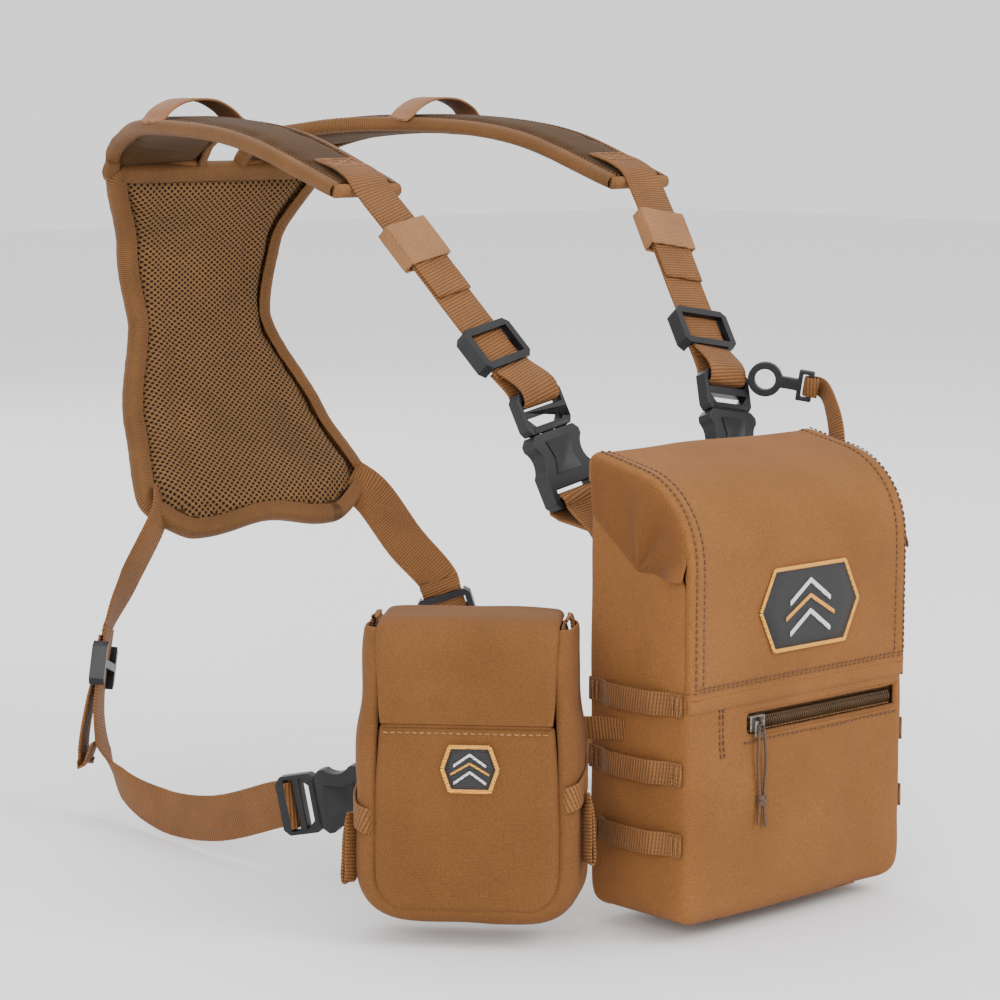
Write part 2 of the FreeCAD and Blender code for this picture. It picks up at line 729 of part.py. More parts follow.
def on_strap(distance, side=1):
    """Point on the straight run of a shoulder strap, measured from the elastic keeper."""
    return mirrored(STRAP_TOP + STRAP_DIRECTION * distance, side)


def buckle_frame(ends, side, across_hint):
    """Placement of a shut buckle whose socket's tail and plug's top are the two ends."""
    tail = mirrored(ends[0], side)
    top = mirrored(ends[1], side)
    return aimed(top - tail, across_hint, (tail + top) * 0.5)


def make_yoke():
    """Back panel of the yoke: outer fabric, foam, spacer mesh and the bound edge."""
    path = [(0, 352, 147), (0, 360, 160), (0, 388, 200), (0, 412, 256), (0, 411, 302), (0, 393, 344)]
    widths = [118.0, 150.0, 126.0, 84.0, 100.0, 138.0]
    stations = 15
    trim = (0.035, 0.965)
    slim = [w - 0.4 for w in widths]
    foam = size("foam_thick")
    mesh = size("mesh_thick")
    shell = size("shell_thick")
    shaped("yoke_foam", ribbon(path, X_AXIS, slim, foam, stations, 0.0, trim))
    shaped("yoke_mesh", ribbon(path, X_AXIS, slim, mesh, stations, -(foam + mesh) / 2 - 0.1, trim))
    shaped("yoke_shell", ribbon(path, X_AXIS, slim, shell, stations, (foam + shell) / 2 + 0.1, trim))
    wide = [w + 2 * size("yoke_binding") for w in widths]
    outer = ribbon(path, X_AXIS, wide, size("yoke_thick"), stations)
    inner = ribbon(path, X_AXIS, widths, size("yoke_thick") + 4, stations, 0.0, trim)
    shaped("yoke_binding", outer.cut(inner))


def make_shoulders():
    """Shoulder pads, their keeper loops and the straps that hang from them."""
    loops = []
    for name, side in SIDES:
        path = [(45, 390, 352.5), (47, 381, 359), (60, 352, 367),
                (86, 300, 371), (95, 220, 365), (96, 142, 341)]
        points = [mirrored(p, side) for p in path]
        pad = ribbon(points, X_AXIS, [66.0, 66.0, 62.0, 54.0, 48.0, 42.0], size("shoulder_thick"), 14)
        shaped(f"shoulder_pad_{name}", pad)
        arch = [(61, 299, 376.6), (67, 299, 380.6), (78, 299, 384.4),
                (96, 299, 384.4), (107, 299, 380.6), (113, 299, 376.6)]
        loop = ribbon([mirrored(p, side) for p in arch], (0, 1, 0), size("keeper_width"), 1.5)
        loops.append(loop)
        make_shoulder_strap(name, side)
    shaped("keeper_loops", Part.makeCompound(loops))


def make_shoulder_strap(name, side):
    """Webbing from the pad to the plug, with the keeper, the adjuster and the buckle on it."""
    width = size("webbing_width")
    thick = size("webbing_thick")
    pad_end = mirrored((95.2, 139.0, 339.0), side)
    strap = ribbon([pad_end, on_strap(-18, side), on_strap(80, side)], X_AXIS, width, thick)
    frame = buckle_frame(SHOULDER_BUCKLE, side, X_AXIS)
    high = 8.4 + size("plug_base")
    slot = high - 7.0
    turn = [(4.9, high + 1.4), (4.6, slot + 1.6), (2.6, slot),
            (-2.6, slot), (-4.6, slot + 1.6), (-4.9, high + 1.4)]
    loop = [frame.multVec(Vector(0, y, z)) for z, y in turn]
    frame_x = frame.Rotation.multVec(X_AXIS)
    normal = STRAP_DIRECTION.cross(X_AXIS)
    normal = mirrored(normal, side)
    join = on_strap(82, side)
    points = [join + normal * 1.7] + loop + [join - normal * 1.7]
    fold = ribbon(points, frame_x, width - 0.6, thick)
    shaped(f"shoulder_webbing_{name}", Part.makeCompound([strap, fold]))
    down = mirrored(STRAP_DIRECTION, side)
    along = Placement(aimed(down * -1, X_AXIS, on_strap(67, side)))
    make_adjuster(f"triglide_{name}", along)
    make_elastic(f"elastic_keeper_{name}", aimed(down * -1, X_AXIS, on_strap(0, side)))
    make_socket(f"shoulder_socket_{name}", frame)
    make_plug(f"shoulder_plug_{name}", frame)
    make_upper_tab(name, side, frame)


def make_elastic(label, placement):
    """Flat elastic sleeve round the webbing."""
    body = new_body(label)
    outer = size("webbing_width") / 2 + 2.2
    inner = size("webbing_width") / 2 + 0.7
    half = size("elastic_length") / 2
    padded_up(body, rectangle(-outer, outer, -half, half), "Sizes.webbing_thick + 4.2")
    pocketed(body, rectangle(-inner, inner, -half - 1, half + 1), "Sizes.webbing_thick + 1.4")
    settle(body, placement)


def bar_turn(frame, slot):
    """Points that carry webbing over a socket's tail bar, through its slot and back under the bar."""
    turn = ((6.4, slot - 7.8), (5.7, slot - 2.2), (3.0, slot),
            (-3.0, slot), (-5.7, slot - 2.2), (-6.4, slot - 7.8))
    return [frame.multVec(Vector(0, y, z)) for z, y in turn]


def make_upper_tab(name, side, frame):
    """Short webbing tab: sewn to the back wall, round the socket's tail bar and back."""
    bar = -size("socket_length") + 8 + 6.5
    turn = bar_turn(frame, bar)
    sewn = mirrored((58, 1.0, 176), side)
    start = sewn + Vector(0, 0, -12)
    end = sewn + Vector(0, 1.8, -12)
    rise = sewn + Vector(0, 0, 2)
    rise_back = sewn + Vector(0, 1.8, 0)
    points = [start, rise] + turn[::-1] + [rise_back, end]
    acrosses = [X_AXIS] * 2 + [frame.Rotation.multVec(X_AXIS)] * len(turn) + [X_AXIS] * 2
    shaped(f"upper_tab_{name}", ribbon(points, acrosses, size("webbing_width") - 0.6, size("webbing_thick")))


def make_lower_straps():
    """Side straps: yoke corner, adjuster, hanging loop, buckle and the tab on the pack."""
    width = size("webbing_width")
    thick = size("webbing_thick")
    tabs = []
    for name, side in SIDES:
        corner = mirrored((77.5, 349.5, 151), side)
        knee = mirrored((102, 345, 119), side)
        bend = mirrored((121, 338, 96), side)
        foot = mirrored((132, 332, 56), side)
        tilt_top = Vector(side * 0.62, -0.45, 0.62)
        tilt_low = Vector(side * 0.72, -0.69, 0)
        strap = ribbon([corner, knee, bend], [tilt_top, tilt_top, tilt_low], width, thick)
        shaped(f"lower_strap_{name}", strap)
        fall = (foot - bend).normalize()
        start = bend + fall * 3.2
        loop_points = [start, foot, mirrored((134, 326, 32), side), mirrored((134, 308, 14), side),
                       mirrored((134, 270, 6), side), mirrored((135, 220, 11), side)]
        frame = buckle_frame(LOWER_BUCKLE, side, Z_AXIS)
        high = 8.4 + size("plug_base")
        slot = high - 7.0
        turn = [(6.5, high + 4), (5.3, high), (4.8, slot + 1.8),
                (2.6, slot), (-2.6, slot), (-4.6, slot + 1.8)]
        plug_end = [frame.multVec(Vector(0, y, side * z)) for z, y in turn]
        upright = [tilt_low, tilt_low, tilt_low, Vector(side * 0.3, -0.5, 0.8)] + [Z_AXIS] * 2
        upright += [frame.Rotation.multVec(X_AXIS)] * len(turn)
        loop = ribbon(loop_points + plug_end, upright, width - 0.6, thick)
        shaped(f"lower_loop_{name}", loop)
        middle = bend + fall * 21.8
        make_adjuster(f"lower_slider_{name}", aimed(fall * -1, tilt_low, middle))
        make_socket(f"lower_socket_{name}", frame)
        make_plug(f"lower_plug_{name}", frame)
        tabs.append(make_lower_tab(side, frame, width, thick))
    shaped("lower_tabs", Part.makeCompound(tabs))


def make_lower_tab(side, frame, width, thick):
    """Webbing from the socket's tail bar to the back wall's lower corner."""
    bar = -size("socket_length") + 8 + 6.5
    turn = bar_turn(frame, bar)
    sewn = [mirrored((52, 1.0, 38), side), mirrored((70, 1.0, 38), side), mirrored((84, 14, 38), side)]
    if (turn[0] - sewn[-1]).Length > (turn[-1] - sewn[-1]).Length:
        turn.reverse()
    acrosses = [Z_AXIS] * len(sewn) + [frame.Rotation.multVec(X_AXIS)] * 5
    return ribbon(sewn + turn[:5], acrosses, width - 0.6, thick)


def make_tether():
    """Thin strap from the pack's top corner on the wearer's left to a hook on that shoulder strap."""
    body = new_body("tether_hook")
    padded_up(body, [Part.Circle(Vector(0, 0, 0), Z_AXIS, 9)], "4.6")
    pocketed(body, [Part.Circle(Vector(0, 0, 0), Z_AXIS, 5.4)], "6")
    padded_up(body, rectangle(-3, 3, -18, -7), "4.6")
    padded_up(body, rectangle(-8, 8, -25, -17), "4.6")
    pocketed(body, rectangle(-6, 6, -22.6, -19.2), "6")
    frame = aimed((-0.6, 0.78, 0.15), (0, 0.1, -1), (84.5, 36, 242))
    settle(body, frame)
    turn = ((-3.6, -28), (-3.6, -22.7), (-1.6, -20.9), (1.6, -20.9), (3.6, -22.7), (3.6, -29))
    hitch = [frame.multVec(Vector(0, y, z)) for z, y in turn]
    path = hitch + [(98, 2, 229), (90, -9, 214), (83, -13, 196),
                    (79.8, -13, 176), (77.6, -13, 160), (76.65, -13, 140)]
    acrosses = [frame.Rotation.multVec(X_AXIS)] * len(hitch) + [Vector(-0.1, 0.6, -0.8)] + [Y_AXIS] * 5
    shaped("tether_strap", ribbon(path, acrosses, size("tether_width"), 1.2))


# ---------------------------------------------------------------- whole assembly

def check_document():
    """Stop on any failed object or bad shape."""
    doc.recompute()
    for item in doc.Objects:
        assert not {"Invalid", "Error"} & set(item.State), f"{item.Label} failed: {item.State}"
    for piece in sub_parts:
        assert not piece.Shape.isNull(), f"{piece.Label} has no shape"
        assert piece.Shape.isValid(), f"{piece.Label} isn't valid"
        assert piece.Shape.Volume > 0, f"{piece.Label} is inside out"


def write_nodes():
    """One STEP file for each node."""
    os.makedirs("parts", exist_ok=True)
    for piece in sub_parts:
        piece.Shape.exportStep(f"parts/{piece.Label}.step")
    print(f"{len(sub_parts)} nodes")


make_walls()
make_side_panels()
make_zip()
make_slider()
make_pull()
make_lid()
make_back_magnets()
make_side_loops()
make_base_webbing()
make_pouch()
make_yoke()
make_shoulders()
make_lower_straps()
make_tether()
check_document()
write_nodes()
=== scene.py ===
"""Looks of a binocular harness pack: chest pack, rangefinder pouch, padded yoke, straps and buckles.

Lengths in this file are millimetres in the pack's own frame, as in the CAD source: +X is the wearer's
left, +Y points at the wearer, y = 0 is the back wall's outer face and z = 0 the pack's underside.
Workshop.to_row turns such a point into the row frame, in metres.
"""

import logging
import math
from dataclasses import dataclass, field
from enum import Enum
from typing import Callable, Sequence

import bmesh
import bpy
from mathutils import Matrix, Vector, noise


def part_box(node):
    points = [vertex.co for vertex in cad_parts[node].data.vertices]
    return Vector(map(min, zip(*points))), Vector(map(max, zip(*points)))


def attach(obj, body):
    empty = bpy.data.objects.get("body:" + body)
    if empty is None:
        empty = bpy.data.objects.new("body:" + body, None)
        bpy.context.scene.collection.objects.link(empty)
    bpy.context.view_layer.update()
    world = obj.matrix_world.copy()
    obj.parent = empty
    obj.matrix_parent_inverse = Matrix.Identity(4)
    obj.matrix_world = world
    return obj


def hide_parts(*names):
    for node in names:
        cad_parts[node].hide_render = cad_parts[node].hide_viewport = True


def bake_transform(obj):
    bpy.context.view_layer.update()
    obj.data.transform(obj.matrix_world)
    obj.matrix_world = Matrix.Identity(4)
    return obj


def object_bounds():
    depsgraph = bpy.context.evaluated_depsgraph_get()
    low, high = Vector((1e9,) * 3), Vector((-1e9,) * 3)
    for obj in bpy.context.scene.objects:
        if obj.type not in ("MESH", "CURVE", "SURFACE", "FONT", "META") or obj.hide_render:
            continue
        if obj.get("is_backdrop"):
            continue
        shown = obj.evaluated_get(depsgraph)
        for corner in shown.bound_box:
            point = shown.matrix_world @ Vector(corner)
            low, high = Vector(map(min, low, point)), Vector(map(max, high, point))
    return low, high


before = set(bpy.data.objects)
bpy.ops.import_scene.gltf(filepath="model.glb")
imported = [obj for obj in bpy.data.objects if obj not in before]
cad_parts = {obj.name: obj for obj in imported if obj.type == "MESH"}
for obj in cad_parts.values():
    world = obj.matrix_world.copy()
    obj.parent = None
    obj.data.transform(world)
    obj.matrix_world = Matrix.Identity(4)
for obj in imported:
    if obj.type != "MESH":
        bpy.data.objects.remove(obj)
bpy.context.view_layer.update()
log = logging.getLogger("harness_pack")

MM = 0.001
FLOOR_DROP = 2.5
Triple = tuple[float, float, float]
Surface = Callable[[float, float], Vector]


class Side(Enum):
    """Which side of the wearer a piece is on."""

    LEFT = 1
    RIGHT = -1

    @property
    def word(self) -> str:
        """The side as CAD node names say it."""
        return self.name.lower()


class Weave(Enum):
    """How a narrow fabric is woven."""

    WEBBING = "webbing"
    GROSGRAIN = "grosgrain"
    ELASTIC = "elastic"


# ------------------------------------------------------------------ frame


@dataclass(frozen=True)
class Workshop:
    """Turns millimetres in the pack's frame into metres in the row frame."""

    back: float
    bottom: float

    @classmethod
    def from_frame(cls) -> "Workshop":
        """Read where the back wall and the underside are."""
        return cls(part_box("back_panel")[1].y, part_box("base_panel")[0].z)

    def to_row(self, point: Sequence[float]) -> Vector:
        """A pack point in the row frame.

        Args:
            point: x, y, z in millimetres.

        Returns:
            The same point in metres.
        """
        x, y, z = point
        return Vector((x * MM, y * MM + self.back, z * MM + self.bottom))


SHOP = Workshop.from_frame()
HALF_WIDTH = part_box("base_panel")[1].x / MM
DEPTH = (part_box("base_panel")[1].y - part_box("base_panel")[0].y) / MM
HINGE_HEIGHT = (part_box("lid_panel")[0].z - SHOP.bottom) / MM
LID_FRONT = (SHOP.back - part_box("lid_panel")[0].y) / MM
BACK_HEIGHT = (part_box("back_panel")[1].z - SHOP.bottom) / MM


def soft_corner(distance: float, radius: float) -> float:
    """How far a panel has turned in at a distance from its edge."""
    if distance >= radius:
        return 0.0
    rest = radius - max(distance, 0.0)
    return radius - math.sqrt(max(radius * radius - rest * rest, 0.0))


def ripple(point: Sequence[float], height: float, size: float, seed: float = 0.0) -> float:
    """Slow uneven rise and fall of loose cloth at a point, in millimetres."""
    place = Vector(point) / size + Vector((seed, seed * 1.7, -seed))
    return height * noise.noise(place)


def bump(value: float, middle: float, spread: float) -> float:
    """Smooth hump that is 1 at its middle."""
    return math.exp(-(((value - middle) / spread) ** 2))


def steps(low: float, high: float, count: int) -> list[float]:
    """Evenly spaced values from low to high, both included."""
    return [low + (high - low) * k / count for k in range(count + 1)]


def smooth_points(points: Sequence[Vector], spans: int) -> list[Vector]:
    """Points on a smooth line through the given ones.

    Args:
        points: The line's own points.
        spans: How many pieces each stretch is divided into; 1 keeps the line straight.

    Returns:
        The line, its own points included.
    """
    if spans < 2:
        return [p.copy() for p in points]
    line: list[Vector] = []
    last = len(points) - 1
    for k in range(last):
        b, c = points[k], points[k + 1]
        a = points[k - 1] if k else b * 2 - c
        d = points[k + 2] if k + 2 <= last else c * 2 - b
        knots = [0.0]
        for p, q in ((a, b), (b, c), (c, d)):
            knots.append(knots[-1] + max((q - p).length, 1e-6) ** 0.5)
        for j in range(spans):
            at = knots[1] + (knots[2] - knots[1]) * j / spans
            level = [a, b, c, d]
            for depth in (1, 2, 3):
                level = [
                    _mix(level[i], level[i + 1], *_window(knots, i, depth), at)
                    for i in range(len(level) - 1)
                ]
            line.append(level[0])
    return line + [points[last].copy()]


def _window(knots: Sequence[float], start: int, depth: int) -> tuple[float, float]:
    """The two knots that one step of the smooth line runs between."""
    if depth == 1:
        return knots[start], knots[start + 1]
    if depth == 2:
        return knots[start], knots[start + 2]
    return knots[1], knots[2]


def _mix(p: Vector, q: Vector, low: float, high: float, at: float) -> Vector:
    """Point between two others."""
    share = (at - low) / (high - low)
    return p * (1 - share) + q * share


def walk(points: Sequence[Vector], pitch: float) -> list[tuple[Vector, Vector]]:
    """Places a pitch apart along a line.

    Args:
        points: The line.
        pitch: Distance between places, in the line's units.

    Returns:
        Place and direction of each.
    """
    found = []
    due = pitch / 2
    for a, b in zip(points, points[1:]):
        length = (b - a).length
        while length > 1e-9 and due <= length:
            found.append((a.lerp(b, due / length), (b - a) / length))
            due += pitch
        due -= length
    return found


# ------------------------------------------------------------------ finishes


class Graph:
    """Short words for building a material's nodes."""

    def __init__(self, material: bpy.types.Material) -> None:
        """Start from the material's Principled shader."""
        material.use_nodes = True
        self.tree = material.node_tree
        self.shader = next(n for n in self.tree.nodes if n.type == "BSDF_PRINCIPLED")

    def node(self, kind: str, values: dict | None = None, **settings: object) -> bpy.types.Node:
        """Add a node.

        Args:
            kind: Node type without the ShaderNode prefix.
            values: Socket name or index to a value or to another node's output.
            settings: The node's own properties.

        Returns:
            The node.
        """
        made = self.tree.nodes.new("ShaderNode" + kind)
        for name, value in settings.items():
            setattr(made, name, value)
        for name, value in (values or {}).items():
            self.put(made.inputs[name], value)
        return made

    def put(self, socket: bpy.types.NodeSocket, value: object) -> None:
        """Give a socket a value or wire it to an output."""
        if isinstance(value, bpy.types.NodeSocket):
            self.tree.links.new(value, socket)
        else:
            socket.default_value = value

    def math(self, operation: str, first: object, second: object = 0.0) -> bpy.types.NodeSocket:
        """Output of a Math node."""
        return self.node("Math", {0: first, 1: second}, operation=operation).outputs[0]

    def noise(self, where: object, scale: float, detail: float = 2.0) -> bpy.types.NodeSocket:
        """Output of a Noise texture."""
        values = {"Vector": where, "Scale": scale, "Detail": detail}
        return self.node("TexNoise", values).outputs["Fac"]

    def ramp(self, source: object, stops: Sequence[tuple[float, Triple]]) -> bpy.types.NodeSocket:
        """Colour for each value of a source."""
        made = self.node("ValToRGB", {"Fac": source})
        band = made.color_ramp
        for k, (at, colour) in enumerate(stops):
            element = band.elements[k] if k < 2 else band.elements.new(at)
            element.position = at
            element.color = (*colour, 1)
        return made.outputs["Color"]

    def blend(self, share: object, one: object, two: object, how: str = "MIX") -> bpy.types.NodeSocket:
        """Mix of two colours."""
        made = self.node("Mix", data_type="RGBA", blend_type=how)
        self.put(made.inputs[0], share)
        for socket, value in ((made.inputs[6], one), (made.inputs[7], two)):
            self.put(socket, (*value, 1) if isinstance(value, tuple) and len(value) == 3 else value)
        return made.outputs[2]

    def relief(
        self, height: object, distance: float, strength: float, under: object = None
    ) -> bpy.types.NodeSocket:
        """Bump from a height, on top of another bump where one is given."""
        made = self.node("Bump", {"Height": height, "Strength": strength, "Distance": distance})
        if under is not None:
            self.put(made.inputs["Normal"], under)
        return made.outputs["Normal"]

    def where(self) -> bpy.types.NodeSocket:
        """The surface's own coordinates, in metres."""
        return self.node("TexCoord").outputs["Object"]

    def along(self) -> tuple[bpy.types.NodeSocket, bpy.types.NodeSocket]:
        """Distance across and along a piece, in metres, from its own map."""
        split = self.node("SeparateXYZ", {0: self.node("UVMap", uv_map=CLOTH_MAP).outputs[0]})
        return split.outputs[0], split.outputs[1]

    def wave(self, source: object, pitch: float, shift: float = 0.0) -> bpy.types.NodeSocket:
        """Cosine of a distance, one period a pitch."""
        turned = self.math("MULTIPLY_ADD", source, math.tau / pitch)
        turned.node.inputs[2].default_value = shift
        return self.math("COSINE", turned)


CLOTH_MAP = "cloth"


@dataclass(frozen=True)
class Finish:
    """A finish, whose material is made once."""

    name: str
    colour: Triple
    slot: str = ""

    def material(self) -> bpy.types.Material:
        """The material, made on first use."""
        name = f"finish_{self.name}"
        found = bpy.data.materials.get(name)
        if found is None:
            found = bpy.data.materials.new(name)
            self.dress(Graph(found))
        return found

    def dress(self, graph: Graph) -> None:
        """Build the nodes."""
        raise NotImplementedError

    def shade(self, factor: float) -> Triple:
        """The finish's colour, darker or lighter."""
        return tuple(min(c * factor, 1.0) for c in self.colour)


@dataclass(frozen=True)
class Softshell(Finish):
    """Brushed face fabric bonded to foam: heathered yarn, slight sheen, small creases, edges worn lighter and
    hollows darkened as painted shade.
    """

    grain: float = 1500.0
    crease: float = 0.35

    def dress(self, graph: Graph) -> None:
        """Build the nodes."""
        where = graph.where()
        yarn = graph.noise(where, self.grain, 3.0)
        heather = graph.ramp(yarn, [(0.3, self.shade(0.8)), (0.5, self.colour), (0.7, self.shade(1.2))])
        cloud = graph.noise(where, 22.0, 4.0)
        patches = graph.ramp(cloud, [(0.3, (0.86, 0.84, 0.8)), (0.7, (1.06, 1.04, 1.0))])
        # Pointiness colours the cloth: convex edges lighter as wear, hollows and creases darker as painted
        # shade.
        edges = graph.node("NewGeometry").outputs["Pointiness"]
        wear_and_shade = graph.ramp(edges, [(0.46, (0.82, 0.8, 0.78)), (0.56, (1.14, 1.14, 1.14))])
        colour = graph.blend(1.0, graph.blend(1.0, heather, patches, "MULTIPLY"), wear_and_shade, "MULTIPLY")
        graph.put(graph.shader.inputs["Base Color"], colour)
        rough = graph.math("MULTIPLY_ADD", yarn, 0.14)
        rough.node.inputs[2].default_value = 0.76
        graph.put(graph.shader.inputs["Roughness"], rough)
        creases = graph.relief(graph.noise(where, 75.0, 4.0), 0.0016, self.crease)
        lines = {"Vector": where, "Scale": 420.0, "Distortion": 1.4}
        twill = graph.node("TexWave", lines, wave_type="BANDS", bands_direction="DIAGONAL")
        woven = graph.relief(twill.outputs["Fac"], 0.00012, 0.5, creases)
        graph.put(graph.shader.inputs["Normal"], graph.relief(yarn, 0.00014, 0.6, woven))
        graph.shader.inputs["Sheen Weight"].default_value = 0.03
        graph.shader.inputs["Sheen Roughness"].default_value = 0.55
        graph.shader.inputs["Specular IOR Level"].default_value = 0.1


@dataclass(frozen=True)
class Narrow(Finish):
    """Narrow woven fabric: ribs across it and columns along it, from the piece's own map; painted shade in
    the weave's low points and painted highlight on its raised ribs.
    """

    weave: Weave = Weave.WEBBING

    def dress(self, graph: Graph) -> None:
        """Build the nodes."""
        rib, column, depth = {
            Weave.WEBBING: (0.00165, 0.0021, 0.00045),
            Weave.GROSGRAIN: (0.0012, 0.0050, 0.00025),
            Weave.ELASTIC: (0.0009, 0.0011, 0.00012),
        }[self.weave]
        across, along = graph.along()
        where = graph.where()
        lean = graph.math("MULTIPLY_ADD", across, 0.12)
        graph.put(lean.node.inputs[2], along)
        ribs = graph.wave(lean, rib)
        columns = graph.wave(across, column)
        crossed = graph.math("MULTIPLY_ADD", graph.math("MULTIPLY", ribs, columns), 0.35)
        graph.put(crossed.node.inputs[2], ribs)
        height = graph.math("MULTIPLY_ADD", crossed, 0.37)
        height.node.inputs[2].default_value = 0.5
        yarn = graph.noise(where, 1400.0, 2.0)
        # The weave's height also sets its colour: painted shade in its low points, painted highlight on its
        # raised ribs.
        tone = graph.ramp(height, [(0.05, self.shade(0.52)), (0.45, self.colour), (0.95, self.shade(1.28))])
        cloud = graph.noise(where, 40.0, 3.0)
        patches = graph.ramp(cloud, [(0.3, (0.84, 0.84, 0.84)), (0.7, (1.08, 1.06, 1.03))])
        fuzz = graph.ramp(yarn, [(0.3, (0.84, 0.84, 0.84)), (0.7, (1.12, 1.12, 1.12))])
        colour = graph.blend(1.0, graph.blend(1.0, tone, patches, "MULTIPLY"), fuzz, "MULTIPLY")
        graph.put(graph.shader.inputs["Base Color"], colour)
        rough = graph.math("MULTIPLY_ADD", yarn, 0.2)
        rough.node.inputs[2].default_value = 0.58
        graph.put(graph.shader.inputs["Roughness"], rough)
        fibre = graph.relief(yarn, 0.0002, 0.5)
        graph.put(graph.shader.inputs["Normal"], graph.relief(height, depth, 0.9, fibre))
        graph.shader.inputs["Sheen Weight"].default_value = 0.02
        graph.shader.inputs["Specular IOR Level"].default_value = 0.16


@dataclass(frozen=True)
class SpacerMesh(Finish):
    """Air mesh: round holes in staggered rows through a knitted face, the holes painted nearly black as
    painted shade.
    """

    hole: float = 0.0021
    row: float = 0.0017

    def dress(self, graph: Graph) -> None:
        """Build the nodes."""
        across, along = graph.along()
        where = graph.where()
        lattice = graph.math("MULTIPLY", graph.wave(across, 2 * self.hole), graph.wave(along, 2 * self.row))
        thread = graph.noise(where, 1700.0, 2.0)
        edge = graph.math("ADD", lattice, graph.math("MULTIPLY", thread, 0.18))
        # The holes are painted nearly black: painted shade inside them.
        hole = graph.ramp(edge, [(0.2, (1, 1, 1)), (0.4, (0, 0, 0))])
        face = graph.ramp(thread, [(0.3, self.shade(0.62)), (0.5, self.colour), (0.72, self.shade(1.4))])
        cloud = graph.noise(where, 26.0, 3.0)
        patches = graph.ramp(cloud, [(0.3, (0.82, 0.86, 0.84)), (0.7, (1.1, 1.04, 1.0))])
        knit = graph.blend(1.0, face, patches, "MULTIPLY")
        graph.put(graph.shader.inputs["Base Color"], graph.blend(hole, self.shade(0.07), knit))
        graph.put(graph.shader.inputs["Roughness"], graph.math("MULTIPLY_ADD", thread, 0.1))
        graph.shader.inputs["Roughness"].links[0].from_node.inputs[2].default_value = 0.78
        knitted = graph.relief(thread, 0.0002, 0.6)
        graph.put(graph.shader.inputs["Normal"], graph.relief(hole, 0.0009, 0.9, knitted))
        graph.shader.inputs["Specular IOR Level"].default_value = 0.2


@dataclass(frozen=True)
class Thread(Finish):
    """Twisted sewing or embroidery thread, painted darker between its twisted strands as painted shade and
    lighter on them as painted highlight.
    """

    twist: float = 2600.0

    def dress(self, graph: Graph) -> None:
        """Build the nodes."""
        where = graph.where()
        lines = {"Vector": where, "Scale": self.twist / 6, "Distortion": 3.0}
        strand = graph.node("TexWave", lines, bands_direction="DIAGONAL")
        fibre = graph.noise(where, self.twist, 2.0)
        # The twist's bands also set the colour: painted shade in the grooves, painted highlight on the
        # strands.
        tone = graph.ramp(strand.outputs["Fac"], [(0.1, self.shade(0.6)), (0.8, self.shade(1.2))])
        spots = graph.ramp(fibre, [(0.3, (0.8, 0.8, 0.8)), (0.7, (1.15, 1.15, 1.15))])
        graph.put(graph.shader.inputs["Base Color"], graph.blend(1.0, tone, spots, "MULTIPLY"))
        rough = graph.math("MULTIPLY_ADD", fibre, 0.2)
        rough.node.inputs[2].default_value = 0.45
        graph.put(graph.shader.inputs["Roughness"], rough)
        graph.put(graph.shader.inputs["Normal"], graph.relief(strand.outputs["Fac"], 0.0003, 0.8))
        graph.shader.inputs["Sheen Weight"].default_value = 0.04


@dataclass(frozen=True)
class Moulded(Finish):
    """Moulded acetal: dark, faintly speckled, edges rubbed a little lighter."""

    gloss: float = 0.34

    def dress(self, graph: Graph) -> None:
        """Build the nodes."""
        where = graph.where()
        speck = graph.noise(where, 900.0, 3.0)
        cloud = graph.noise(where, 60.0, 3.0)
        tone = graph.ramp(cloud, [(0.3, self.shade(0.75)), (0.7, self.shade(1.35))])
        edges = graph.node("NewGeometry").outputs["Pointiness"]
        rubbed = graph.ramp(edges, [(0.5, (1, 1, 1)), (0.62, (2.4, 2.4, 2.4))])
        graph.put(graph.shader.inputs["Base Color"], graph.blend(1.0, tone, rubbed, "MULTIPLY"))
        rough = graph.math("MULTIPLY_ADD", cloud, 0.2)
        rough.node.inputs[2].default_value = self.gloss
        graph.put(graph.shader.inputs["Roughness"], rough)
        graph.put(graph.shader.inputs["Normal"], graph.relief(speck, 0.00006, 0.45))
        graph.shader.inputs["Specular IOR Level"].default_value = 0.32


@dataclass(frozen=True)
class Enamel(Finish):
    """Cast zip slider under dark enamel, worn to metal at its edges."""

    metal: Triple = (0.36, 0.3, 0.22)

    def dress(self, graph: Graph) -> None:
        """Build the nodes."""
        where = graph.where()
        edges = graph.node("NewGeometry").outputs["Pointiness"]
        chips = graph.math("ADD", edges, graph.math("MULTIPLY", graph.noise(where, 700.0, 4.0), 0.12))
        bare = graph.ramp(chips, [(0.6, (0, 0, 0)), (0.66, (1, 1, 1))])
        graph.put(graph.shader.inputs["Base Color"], graph.blend(bare, self.colour, self.metal))
        graph.put(graph.shader.inputs["Metallic"], bare)
        rough = graph.math("MULTIPLY_ADD", graph.noise(where, 300.0, 3.0), 0.25)
        rough.node.inputs[2].default_value = 0.25
        graph.put(graph.shader.inputs["Roughness"], rough)


@dataclass(frozen=True)
class Paper(Finish):
    """Studio sweep."""

    def dress(self, graph: Graph) -> None:
        """Build the nodes."""
        soft = graph.noise(graph.where(), 3.0, 2.0)
        tone = graph.ramp(soft, [(0.0, self.shade(0.985)), (1.0, self.colour)])
        graph.put(graph.shader.inputs["Base Color"], tone)
        graph.shader.inputs["Roughness"].default_value = 0.95
        graph.shader.inputs["Specular IOR Level"].default_value = 0.0


